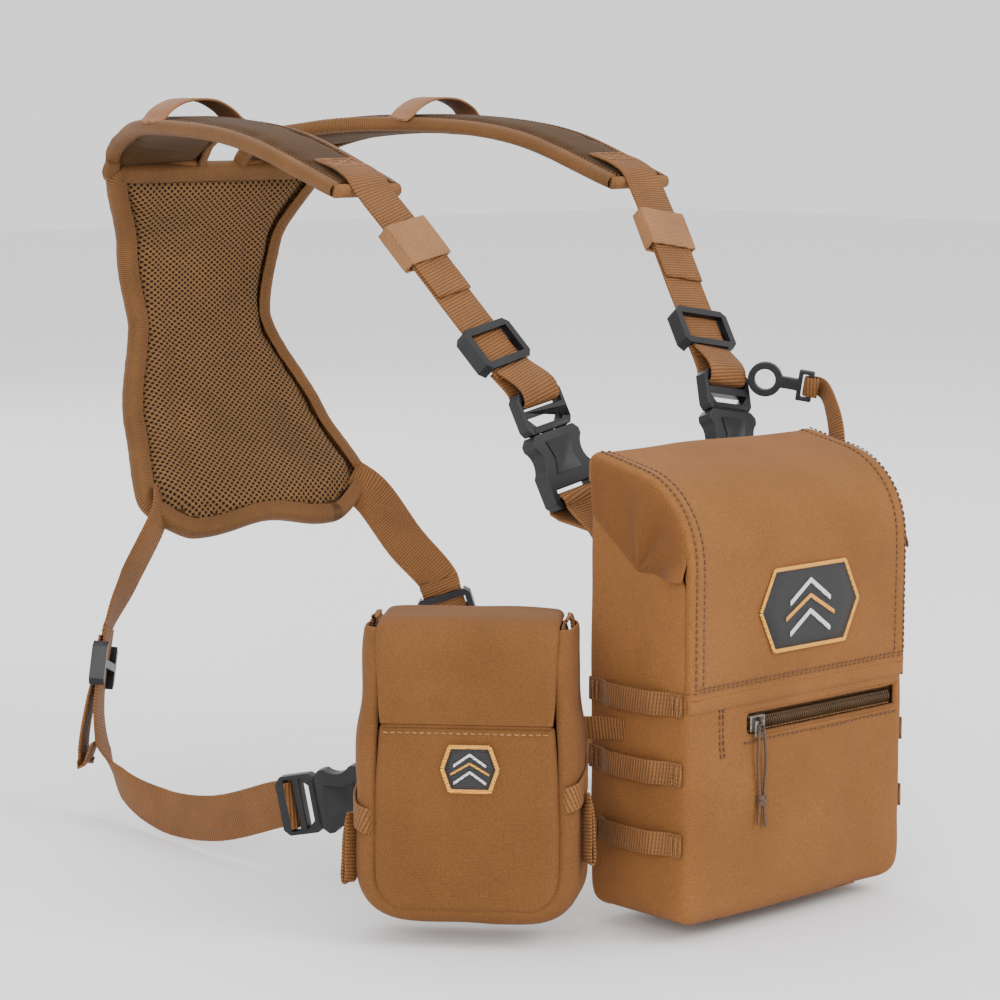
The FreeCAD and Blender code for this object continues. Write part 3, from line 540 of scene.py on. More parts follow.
PACK_CLOTH = Softshell("pack_softshell", (0.215, 0.091, 0.029), "pack_fabric")
POUCH_CLOTH = Softshell("pouch_softshell", (0.16, 0.069, 0.023), "pouch_fabric", 1450.0, 0.4)
STRETCH_CLOTH = Softshell("stretch_wing", (0.145, 0.059, 0.019), "pack_fabric", 1700.0, 0.6)
LINING_CLOTH = Softshell("lining", (0.1, 0.045, 0.015), "lining_fabric", 1800.0)
YOKE_CLOTH = Softshell("yoke_nylon", (0.062, 0.031, 0.011), "yoke_fabric", 2000.0, 0.4)
MESH_CLOTH = SpacerMesh("spacer_mesh", (0.17, 0.088, 0.034), "spacer_mesh")
WEBBING = Narrow("webbing", (0.185, 0.08, 0.027), "webbing", Weave.WEBBING)
BINDING = Narrow("binding", (0.15, 0.068, 0.023), "edge_binding", Weave.GROSGRAIN)
TAPE = Narrow("zip_tape", (0.07, 0.034, 0.01), "zip_tape", Weave.GROSGRAIN)
ELASTIC = Narrow("elastic", (0.27, 0.13, 0.057), "elastic", Weave.ELASTIC)
KEEPER = Narrow("keeper_strap", (0.25, 0.115, 0.055), "keeper_strap", Weave.ELASTIC)
SEWING = Thread("sewing_thread", (0.1, 0.038, 0.011))
PALE_SEWING = Thread("pale_thread", (0.33, 0.14, 0.045))
CORDAGE = Thread("cordage", (0.1, 0.048, 0.017), "cord", 3200.0)
GOLD_THREAD = Thread("gold_thread", (0.78, 0.36, 0.045), "badge")
WHITE_THREAD = Thread("white_thread", (0.8, 0.78, 0.74), "badge")
BLACK_TWILL = Thread("black_twill", (0.012, 0.012, 0.015), "badge", 4200.0)
COIL = Moulded("zip_coil", (0.075, 0.04, 0.016), "zip_coil", 0.4)
ACETAL = Moulded("black_acetal", (0.006, 0.006, 0.007), "black_plastic", 0.3)
SLIDER = Enamel("slider_enamel", (0.03, 0.026, 0.022), "zip_metal")
MAGNET = Enamel("magnet_plate", (0.5, 0.5, 0.5), "magnet")
SWEEP = Paper("sweep", (0.9, 0.9, 0.9))


# ------------------------------------------------------------------ builders


def new_object(name: str, points: Sequence[Vector], faces: Sequence[Sequence[int]],
               places: Sequence[tuple[float, float]] | None = None) -> bpy.types.Object:
    """Smooth-shaded mesh object.

    Args:
        name: The piece's name.
        points: Corners in metres, in the row frame.
        faces: Corner numbers of each face.
        places: Distance across and along at each corner, in metres, for woven finishes.

    Returns:
        The object, in the scene.
    """
    mesh = bpy.data.meshes.new(name)
    mesh.from_pydata([tuple(p) for p in points], [], [tuple(f) for f in faces])
    mesh.validate()
    if places is not None:
        layer = mesh.uv_layers.new(name=CLOTH_MAP)
        for loop in mesh.loops:
            layer.data[loop.index].uv = places[loop.vertex_index]
    mesh.polygons.foreach_set("use_smooth", [True] * len(mesh.polygons))
    made = bpy.data.objects.new(name, mesh)
    bpy.context.scene.collection.objects.link(made)
    return made


def joined(name: str, parts: Sequence[bpy.types.Object]) -> bpy.types.Object:
    """One object from several that share a finish, modifiers applied."""
    depsgraph = bpy.context.evaluated_depsgraph_get()
    depsgraph.update()
    work = bmesh.new()
    for part in parts:
        mesh = bpy.data.meshes.new_from_object(part.evaluated_get(depsgraph))
        mesh.transform(part.matrix_world)
        work.from_mesh(mesh)
        bpy.data.meshes.remove(mesh)
    mesh = bpy.data.meshes.new(name)
    work.to_mesh(mesh)
    work.free()
    for part in parts:
        bpy.data.objects.remove(part)
    mesh.polygons.foreach_set("use_smooth", [True] * len(mesh.polygons))
    made = bpy.data.objects.new(name, mesh)
    bpy.context.scene.collection.objects.link(made)
    return made


def finished(
    obj: bpy.types.Object, finish: Finish, body: str | tuple[str, ...], *nodes: str
) -> bpy.types.Object:
    """Dress a piece, put it on its body and say which CAD nodes it stands for.

    Args:
        obj: The piece.
        finish: Its finish.
        body: The body it rides on, or an empty tuple to leave it unattached.
        nodes: CAD nodes it replaces.

    Returns:
        The piece.
    """
    obj.data.materials.clear()
    obj.data.materials.append(finish.material())
    if body:
        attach(obj, body)
    if nodes:
        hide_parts(*nodes)
    log.info("piece %s, finish %s, stands for %s", obj.name, finish.name, nodes or "nothing")
    return obj


@dataclass
class Cloth:
    """One cut piece of thick cloth laid over a surface."""

    name: str
    at: Surface
    columns: Sequence[float]
    rows: Sequence[float]
    thickness: float = 2.4
    levels: int = 2
    skip: Callable[[float, float], bool] | None = None

    def make(self) -> bpy.types.Object:
        """Build the sheet, its thickness and its rounding.

        Returns:
            The object.
        """
        wide = len(self.columns)
        grid = [[self.at(u, v) for u in self.columns] for v in self.rows]
        points = [SHOP.to_row(p) for line in grid for p in line]
        across = _running(grid[len(grid) // 2])
        middle = wide // 2
        upward = _running([line[middle] for line in grid])
        places = [(a * MM, b * MM) for b in upward for a in across]
        faces = []
        for j in range(len(self.rows) - 1):
            for i in range(wide - 1):
                u = (self.columns[i] + self.columns[i + 1]) / 2
                v = (self.rows[j] + self.rows[j + 1]) / 2
                if self.skip and self.skip(u, v):
                    continue
                k = j * wide + i
                faces.append((k, k + 1, k + wide + 1, k + wide))
        made = new_object(self.name, points, faces, places)
        thick = made.modifiers.new("thickness", "SOLIDIFY")
        thick.thickness = self.thickness * MM
        thick.offset = 0.0
        round_off(made, self.levels)
        return made

    def outside(self, u: float, v: float, away: Vector, lift: float) -> tuple[Vector, Vector]:
        """Point just above the cloth's outer face and the way out of it.

        Args:
            u: First surface value.
            v: Second surface value.
            away: Rough direction out of the piece.
            lift: Height over the outer face, in millimetres.

        Returns:
            The point and the surface's normal there.
        """
        step = 0.4
        here = self.at(u, v)
        du = self.at(u + step * _unit_of(self.columns), v) - here
        dv = self.at(u, v + step * _unit_of(self.rows)) - here
        normal = du.cross(dv)
        normal = normal.normalized() if normal.length > 1e-9 else away.normalized()
        if normal.dot(away) < 0:
            normal.negate()
        return here + normal * (self.thickness / 2 + lift), normal


def _unit_of(values: Sequence[float]) -> float:
    """A small step in the units that a cloth's columns or rows use."""
    return (values[-1] - values[0]) / 120


def _running(line: Sequence[Vector]) -> list[float]:
    """Distance along a line at each of its points."""
    found = [0.0]
    for a, b in zip(line, line[1:]):
        found.append(found[-1] + (b - a).length)
    return found


def round_off(obj: bpy.types.Object, levels: int) -> None:
    """Subdivide a piece so that it is smooth."""
    smooth = obj.modifiers.new("rounding", "SUBSURF")
    smooth.levels = levels
    smooth.render_levels = levels


@dataclass
class Strap:
    """Woven strap along a line, with round edges and its weave's own map."""

    name: str
    line: Sequence[Sequence[float]]
    across: Sequence[float] | Sequence[Sequence[float]]
    width: float = 25.0
    thickness: float = 1.6
    spans: int = 6
    sides: int = 3
    waver: float = 0.25

    def make(self) -> bpy.types.Object:
        """Build the strap.

        Returns:
            The object.
        """
        own = [Vector(p) for p in self.line]
        single = isinstance(self.across[0], (int, float))
        tilts = [Vector(self.across)] * len(own) if single else [Vector(a) for a in self.across]
        places = smooth_points(own, self.spans)
        turned = []
        for a, b in zip(tilts, tilts[1:]):
            turned += [a.lerp(b, j / max(self.spans, 1)) for j in range(max(self.spans, 1))]
        turned.append(tilts[-1])
        shape = self._section()
        points: list[Vector] = []
        uvs: list[tuple[float, float]] = []
        run = 0.0
        for k, (place, tilt) in enumerate(zip(places, turned)):
            ahead = places[min(k + 1, len(places) - 1)] - places[max(k - 1, 0)]
            along = ahead.normalized()
            sideways = (tilt - along * tilt.dot(along)).normalized()
            normal = along.cross(sideways)
            run += (place - places[k - 1]).length if k else 0.0
            lift = ripple(place, self.waver, 14.0, self.width)
            for w, d in shape:
                points.append(SHOP.to_row(place + sideways * w + normal * (d + lift)))
                uvs.append((w * MM, run * MM))
        count = len(shape)
        faces: list[tuple[int, ...]] = []
        for k in range(len(places) - 1):
            for i in range(count):
                j = (i + 1) % count
                faces.append((k * count + i, k * count + j, (k + 1) * count + j, (k + 1) * count + i))
        faces.append(tuple(range(count))[::-1])
        faces.append(tuple(range((len(places) - 1) * count, len(places) * count)))
        return new_object(self.name, points, faces, uvs)

    def _section(self) -> list[tuple[float, float]]:
        """Cross-section: distance across and through the strap."""
        half, deep = self.width / 2, self.thickness / 2
        flat = half - deep
        top = [(-flat + 2 * flat * k / self.sides, deep) for k in range(self.sides + 1)]
        right = [(flat + deep * 0.8, deep * 0.6), (half, 0.0), (flat + deep * 0.8, -deep * 0.6)]
        bottom = [(x, -y) for x, y in reversed(top)]
        left = [(-x, y) for x, y in reversed(right)]
        return top + right + bottom + left


@dataclass
class Sewing:
    """Many stitches of one thread, gathered into one piece."""

    name: str
    pitch: float = 3.1
    length: float = 2.3
    radius: float = 0.42
    points: list[Vector] = field(default_factory=list)
    faces: list[tuple[int, ...]] = field(default_factory=list)

    def run(self, line: Sequence[Vector], normals: Sequence[Vector] | Vector) -> "Sewing":
        """Sew along a line.

        Args:
            line: Points in millimetres, on the cloth's outer face.
            normals: The way out of the cloth, one for all or one for each point.

        Returns:
            This sewing, so that runs can follow one another.
        """
        for k, (place, along) in enumerate(walk(line, self.pitch)):
            normal = normals if isinstance(normals, Vector) else self._nearest(place, line, normals)
            self.stitch(place, along, normal, 0.12 if k % 2 else -0.12)
        return self

    def box(self, centre: Vector, along: Vector, across: Vector, length: float, width: float) -> "Sewing":
        """Sew a box with a cross in it.

        Args:
            centre: Middle of the box, on the outer face.
            along: Direction of its length.
            across: Direction of its width.
            length: Size along.
            width: Size across.

        Returns:
            This sewing.
        """
        a, b = along.normalized() * (length / 2), across.normalized() * (width / 2)
        corners = [centre - a - b, centre + a - b, centre + a + b, centre - a + b]
        normal = a.cross(b).normalized()
        for p, q in zip(corners, corners[1:] + corners[:1]):
            self.run([p, q], normal)
        self.run([corners[0], corners[2]], normal)
        return self.run([corners[1], corners[3]], normal)

    @staticmethod
    def _nearest(place: Vector, line: Sequence[Vector], normals: Sequence[Vector]) -> Vector:
        """Normal of the line's point that is nearest to a place."""
        k = min(range(len(line)), key=lambda i: (line[i] - place).length_squared)
        return normals[k]

    def stitch(self, place: Vector, along: Vector, normal: Vector, lean: float) -> None:
        """One stitch: a small spindle that leans a little."""
        side = normal.cross(along).normalized()
        ahead = (along + side * lean).normalized()
        first = len(self.points)
        rings = ((-0.5, 0.35), (-0.3, 0.95), (0.0, 1.0), (0.3, 0.95), (0.5, 0.35))
        sides = 6
        for share, fat in rings:
            rise = 0.18 * self.radius * (1 - abs(share) * 3)
            middle = place + ahead * (share * self.length) + normal * rise
            for k in range(sides):
                turn = math.tau * k / sides
                out = side * math.cos(turn) + normal * math.sin(turn)
                self.points.append(middle + out * (self.radius * fat))
        for r in range(len(rings) - 1):
            for k in range(sides):
                j = (k + 1) % sides
                low, high = first + r * sides, first + (r + 1) * sides
                self.faces.append((low + k, low + j, high + j, high + k))
        self.faces.append(tuple(first + k for k in range(sides))[::-1])
        self.faces.append(tuple(first + (len(rings) - 1) * sides + k for k in range(sides)))

    def make(self) -> bpy.types.Object:
        """The sewn thread as one object."""
        return new_object(self.name, [SHOP.to_row(p) for p in self.points], self.faces)


def slab_faces(wide: int, tall: int) -> list[tuple[int, ...]]:
    """Faces of a closed slab of two layers of points.

    Args:
        wide: Points in each row.
        tall: Rows in each layer, all of the lower layer before the upper one.

    Returns:
        The faces of both layers and of the rim between them.
    """
    layer = wide * tall
    faces: list[tuple[int, ...]] = []
    for j in range(tall - 1):
        for i in range(wide - 1):
            k = j * wide + i
            faces.append((k, k + wide, k + wide + 1, k + 1))
            faces.append((layer + k, layer + k + 1, layer + k + wide + 1, layer + k + wide))
    rim = list(range(wide)) + [j * wide + wide - 1 for j in range(1, tall)]
    rim += [(tall - 1) * wide + i for i in range(wide - 2, -1, -1)]
    rim += [j * wide for j in range(tall - 2, 0, -1)]
    return faces + [(a, b, layer + b, layer + a) for a, b in zip(rim, rim[1:] + rim[:1])]


def rod(name: str, line: Sequence[Vector], radius: float | Callable[[float], float], sides: int = 8,
        flat: float = 1.0, closed: bool = False) -> bpy.types.Object:
    """Round or oval rod along a line.

    Args:
        name: The piece's name.
        line: Points in millimetres.
        radius: Radius, or radius for a share of the length.
        sides: Sides of the section.
        flat: Section's height over its width.
        closed: Whether the line joins up with itself.

    Returns:
        The object.
    """
    count = len(line)
    points: list[Vector] = []
    up = Vector((0.13, 0.21, 0.97))
    for k, place in enumerate(line):
        before = line[k - 1] if k or closed else line[0]
        after = line[(k + 1) % count] if k + 1 < count or closed else line[-1]
        along = (after - before).normalized()
        side = along.cross(up)
        side = side.normalized() if side.length > 1e-6 else Vector((1, 0, 0))
        over = side.cross(along)
        thick = radius(k / (count - 1)) if callable(radius) else radius
        for j in range(sides):
            turn = math.tau * j / sides
            out = side * (thick * math.cos(turn)) + over * (thick * flat * math.sin(turn))
            points.append(SHOP.to_row(place + out))
    faces: list[tuple[int, ...]] = []
    for k in range(count if closed else count - 1):
        low, high = k * sides, ((k + 1) % count) * sides
        for j in range(sides):
            faces.append((low + j, low + (j + 1) % sides, high + (j + 1) % sides, high + j))
    if not closed:
        faces.append(tuple(range(sides))[::-1])
        faces.append(tuple(range((count - 1) * sides, count * sides)))
    return new_object(name, points, faces)


def moulding(node: str, name: str, finish: Finish, body: str, edge: float = 0.5) -> bpy.types.Object:
    """Moulded piece with the CAD node's form, its facets merged and its edges rounded.

    Args:
        node: The CAD node.
        name: The piece's name.
        finish: Its finish.
        body: The body it rides on.
        edge: Radius of its edges, in millimetres.

    Returns:
        The piece.
    """
    work = bmesh.new()
    work.from_mesh(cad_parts[node].data)
    bmesh.ops.remove_doubles(work, verts=work.verts, dist=0.00002)
    bmesh.ops.dissolve_limit(work, angle_limit=math.radians(1.5), verts=work.verts, edges=work.edges)
    mesh = bpy.data.meshes.new(name)
    work.to_mesh(mesh)
    work.free()
    if "custom_normal" in mesh.attributes:
        mesh.attributes.remove(mesh.attributes["custom_normal"])
    mesh.polygons.foreach_set("use_smooth", [True] * len(mesh.polygons))
    made = bpy.data.objects.new(name, mesh)
    bpy.context.scene.collection.objects.link(made)
    bevel = made.modifiers.new("edges", "BEVEL")
    bevel.width = edge * MM
    bevel.segments = 2
    bevel.limit_method = "ANGLE"
    bevel.angle_limit = math.radians(32)
    made.modifiers.new("shading", "WEIGHTED_NORMAL")
    return finished(made, finish, body, node)


def stuffed(obj: bpy.types.Object, voxel: float, pressure: float, cap: float) -> None:
    """Fill a closed soft piece by cloth simulation and keep the result.

    Args:
        obj: The closed piece, a little smaller than it ends.
        voxel: Size of the cloth's cells, in millimetres.
        pressure: Filling pressure.
        cap: Furthest that a point may move, in millimetres.
    """
    remesh = obj.modifiers.new("cells", "REMESH")
    remesh.mode = "VOXEL"
    remesh.voxel_size = voxel * MM
    depsgraph = bpy.context.evaluated_depsgraph_get()
    depsgraph.update()
    mesh = bpy.data.meshes.new_from_object(obj.evaluated_get(depsgraph))
    obj.modifiers.clear()
    obj.data = mesh
    mesh.polygons.foreach_set("use_smooth", [True] * len(mesh.polygons))
    rest = [v.co.copy() for v in mesh.vertices]
    cloth = obj.modifiers.new("filling", "CLOTH")
    cloth.settings.use_pressure = True
    cloth.settings.uniform_pressure_force = pressure
    cloth.settings.effector_weights.gravity = 0.0
    cloth.settings.quality = 6
    last = 20
    cloth.point_cache.frame_start, cloth.point_cache.frame_end = 1, last
    for number in range(1, last + 1):
        bpy.context.scene.frame_set(number)
    depsgraph = bpy.context.evaluated_depsgraph_get()
    filled = obj.evaluated_get(depsgraph).to_mesh()
    moved = [v.co.copy() for v in filled.vertices]
    obj.evaluated_get(depsgraph).to_mesh_clear()
    obj.modifiers.clear()
    bpy.context.scene.frame_set(1)
    for vertex, before, after in zip(mesh.vertices, rest, moved):
        step = after - before
        if step.length > cap * MM:
            step *= cap * MM / step.length
        vertex.co = before + step
    round_off(obj, 1)


# ------------------------------------------------------------------ pack shell


@dataclass
class PackShell:
    """The chest pack's tub: sides, front pocket face, back, base, lining, loops and chest pad."""

    corner: float = 5.0
    base_turn: float = 9.0
    window: tuple[float, float, float, float] = (-38.0, 70.0, 87.0, 99.0)
    loop_heights: tuple[float, ...] = (107.0, 74.0, 40.0)

    def side_at(self, side: Side) -> Surface:
        """Surface of one side panel: u runs from the back to the front, v from the base up."""

        def at(u: float, v: float) -> Vector:
            """Surface of the side: u runs from the back to the front, v upwards."""
            y = -DEPTH * u
            top = 201 - 44 * max(0.0, (u - 0.55) / 0.45) ** 1.6
            z = top * v
            turn = soft_corner(min(u, 1 - u) * DEPTH, self.corner) + soft_corner(z, self.base_turn)
            belly = 2.6 * math.sin(math.pi * min(max(u, 0), 1)) * math.sin(math.pi * min(z / 185, 1))
            crease = -1.5 * bump(z - (u - 0.55) * 120, 128, 7) * bump(u, 0.62, 0.28)
            fall = -1.1 * bump(u, 0.52, 0.06) * bump(z, 140, 26)
            loose = ripple((40 * side.value, y, z), 1.5, 34, 3.0)
            x = HALF_WIDTH - turn + (belly + crease + fall + loose) * min(1.0, z / 12)
            y = -DEPTH / 2 + (y + DEPTH / 2) * (1 - soft_corner(z, self.base_turn) / (DEPTH / 2))
            return Vector((side.value * x, y, z))

        return at

    def front_at(self, u: float, v: float) -> Vector:
        """Pocket face: u is x, v is height."""
        sag = 1.0 - abs(u) / HALF_WIDTH
        turn = soft_corner(HALF_WIDTH - abs(u), self.corner) + soft_corner(v, self.base_turn)
        belly = 3.0 * math.sin(math.pi * min(v / 92, 1)) * min(1.0, sag * 3.2)
        seam = -0.9 * bump(u, -55, 1.4) * (1.0 if v > 78 else 0.0)
        loose = ripple((u, 20, v), 1.7, 30, 5.0) * min(1.0, sag * 6) * min(1.0, max(103 - v, 0) / 14)
        droop = 1.3 * bump(v, 8, 9) * bump(u, 0, 60)
        narrow = 1 - soft_corner(v, self.base_turn) / HALF_WIDTH
        return Vector((u * narrow, -DEPTH + turn - belly - loose - seam * 0.6, v - droop))

    def back_at(self, u: float, v: float) -> Vector:
        """Back wall: u is x, v is height."""
        turn = soft_corner(HALF_WIDTH - abs(u), 4.0) + soft_corner(v, 6.0)
        narrow = 1 - soft_corner(v, self.base_turn) / HALF_WIDTH
        sunk = 1.7 * min(1.0, max(0.0, (v - 190) / 12))
        return Vector((u * narrow, -1.5 - turn - sunk + ripple((u, 90, v), 0.8, 40) * (1 - sunk / 1.7), v))

    def base_at(self, u: float, v: float) -> Vector:
        """Underside: u is x, v is y."""
        edge = min(HALF_WIDTH - abs(u), -v, DEPTH + v)
        along = -DEPTH / 2 + (v + DEPTH / 2) * 0.86
        return Vector((u * 0.93, along, 0.4 + soft_corner(edge, 5.0) * 0.6 - 0.6 * bump(u, 0, 50)))

    def build(self) -> None:
        """Make every piece of the tub."""
        self._panels()
        self._loops()
        self._base_webbing()
        self._chest_pad()
        self._magnets()

    def _panels(self) -> None:
        """Cloth panels."""
        around = [0, 0.015, 0.045, 0.09, 0.2, 0.32, 0.44, 0.52, 0.6, 0.7, 0.8, 0.9, 0.955, 0.985, 1]
        upward = [0, 0.01, 0.025, 0.05] + steps(0.09, 1.0, 22)
        for side in Side:
            cloth = Cloth(f"side_{side.word}_cloth", self.side_at(side), around, upward)
            finished(cloth.make(), PACK_CLOTH, "harness", f"side_panel_{side.word}")
        low_x, high_x, low_z, high_z = self.window
        across = [-76, -75, -73, -70, -64, -58, -56, -54, -48, -43, -39.5, low_x] + steps(-28, 62, 9)
        across += [68.5, high_x, 71.5, 73.5, 75, 76]
        heights = [0, 0.8, 2.2, 4.5, 8, 13] + steps(20, 76, 7)
        heights += [82, 85.5, low_z, high_z, 100.5, 104, 108.5]

        def in_window(u: float, v: float) -> bool:
            """Whether a face lies in the zip's window."""
            return low_x < u < high_x and low_z < v < high_z

        front = Cloth("pocket_face", self.front_at, across, heights, 2.2, 2, in_window)
        finished(front.make(), PACK_CLOTH, "harness", "front_pocket_panel")
        wide = [-76, -75, -73, -70] + steps(-60, 60, 8) + [70, 73, 75, 76]
        tall = [0, 1, 3, 6] + steps(14, BACK_HEIGHT, 12)
        back = Cloth("back_cloth", self.back_at, wide, tall, 2.8)
        finished(back.make(), PACK_CLOTH, "harness", "back_panel")
        deep = [-DEPTH, -DEPTH + 1, -DEPTH + 4] + steps(-58, -8, 5) + [-4, -1, 0]
        base = Cloth("base_cloth", self.base_at, wide, deep, 2.6)
        finished(base.make(), PACK_CLOTH, "harness", "base_panel")
        inner = Cloth("pocket_lining", lambda u, v: Vector((u, -61.3 + ripple((u, 5, v), 0.7, 30), v)),
                      steps(-72.6, 72.6, 8), steps(3.2, 108.4, 7), 1.8)
        finished(inner.make(), LINING_CLOTH, "harness", "front_wall")
        sewing = Sewing("tub_sewing")
        for offset in (-1.2, 1.2):
            line = [self.front_at(-55 + offset, v) + Vector((0, -1.5, 0)) for v in steps(79, 103, 12)]
            sewing.run(line, Vector((0, -1, 0)))
        outer = Vector((0, -1.45, 0))
        below = [self.front_at(u, low_z - 2.4) + outer for u in steps(low_x - 3, high_x + 1, 40)]
        sewing.run(below, Vector((0, -1, 0)))
        finished(sewing.make(), SEWING, "harness")

    def _loops(self) -> None:
        """Three accessory loops on each side."""
        band = (-64.5, -57, -53, -49, -42, -34, -26, -19, -15, -11, -3)
        lift = (0.9, 0.8, 2.6, 5.2, 6.0, 6.1, 5.9, 5.0, 2.4, 0.8, 0.8)
        parts = []
        tacks = Sewing("loop_sewing", 1.5, 1.5, 0.36)
        for side in Side:
            for height in self.loop_heights:
                line = [(side.value * (HALF_WIDTH + 1.9 + out), y, height) for y, out in zip(band, lift)]
                parts.append(Strap("loop", line, (0, 0, 1), 11.5, 1.3, 4, 2, 0.15).make())
                for y in (-62.5, -59.5, -9, -6):
                    x = side.value * (HALF_WIDTH + 3.6)
                    tack = [Vector((x, y, height - 4.8)), Vector((x, y, height + 4.8))]
                    tacks.run(tack, Vector((side.value, 0, 0)))
        finished(joined("accessory_loops", parts), WEBBING, "harness", "side_loops")
        finished(tacks.make(), PALE_SEWING, "harness")

    def _base_webbing(self) -> None:
        """Two strips across the underside."""
        parts = []
        for x in (-38, 38):
            line = [(x, -5, -1.0), (x, -20, -1.5), (x, -34, -1.7), (x, -50, -1.3), (x, -60, -0.6)]
            parts.append(Strap("strip", line, (1, 0, 0), 25, 1.5, 5).make())
        finished(joined("base_strips", parts), WEBBING, "harness", "base_webbing")

    def _chest_pad(self) -> None:
        """Foam pad on the wearer's side, filled by simulation."""
        low, high = 8.0, 168.0
        shape = bpy.data.meshes.new("pad_form")
        work = bmesh.new()
        bmesh.ops.create_cube(work, size=1.0)
        bmesh.ops.subdivide_edges(work, edges=work.edges, cuts=5, use_grid_fill=True)
        for vertex in work.verts:
            x, y, z = vertex.co.x * 84, (vertex.co.y + 0.5) * 4.2 + 0.2, vertex.co.z * (high - low - 6)
            edge = min(42 - abs(x), (high - low - 6) / 2 - abs(z))
            y = 0.2 + (y - 0.2) * (0.45 + 0.55 * min(1.0, edge / 9))
            vertex.co = SHOP.to_row((x, y, z + (low + high) / 2))
        work.to_mesh(shape)
        work.free()
        pad = bpy.data.objects.new("chest_cushion", shape)
        bpy.context.scene.collection.objects.link(pad)
        stuffed(pad, 4.0, 2.5, 1.6)
        finished(pad, YOKE_CLOTH, "harness", "chest_pad")
        sewing = Sewing("pad_sewing")
        corners = ((-43.5, 10), (43.5, 10), (43.5, 166), (-43.5, 166), (-43.5, 10))
        ring = [Vector((x, 2.6, z)) for x, z in corners]
        sewing.run(ring, Vector((0, 1, 0)))
        finished(sewing.make(), SEWING, "harness")

    def _magnets(self) -> None:
        """Bar magnets of the closure."""
        moulding("back_magnets", "wall_magnets", MAGNET, "harness", 0.3)
        moulding("lid_magnets", "hem_magnets", MAGNET, "lid", 0.3)


# ------------------------------------------------------------------ lid


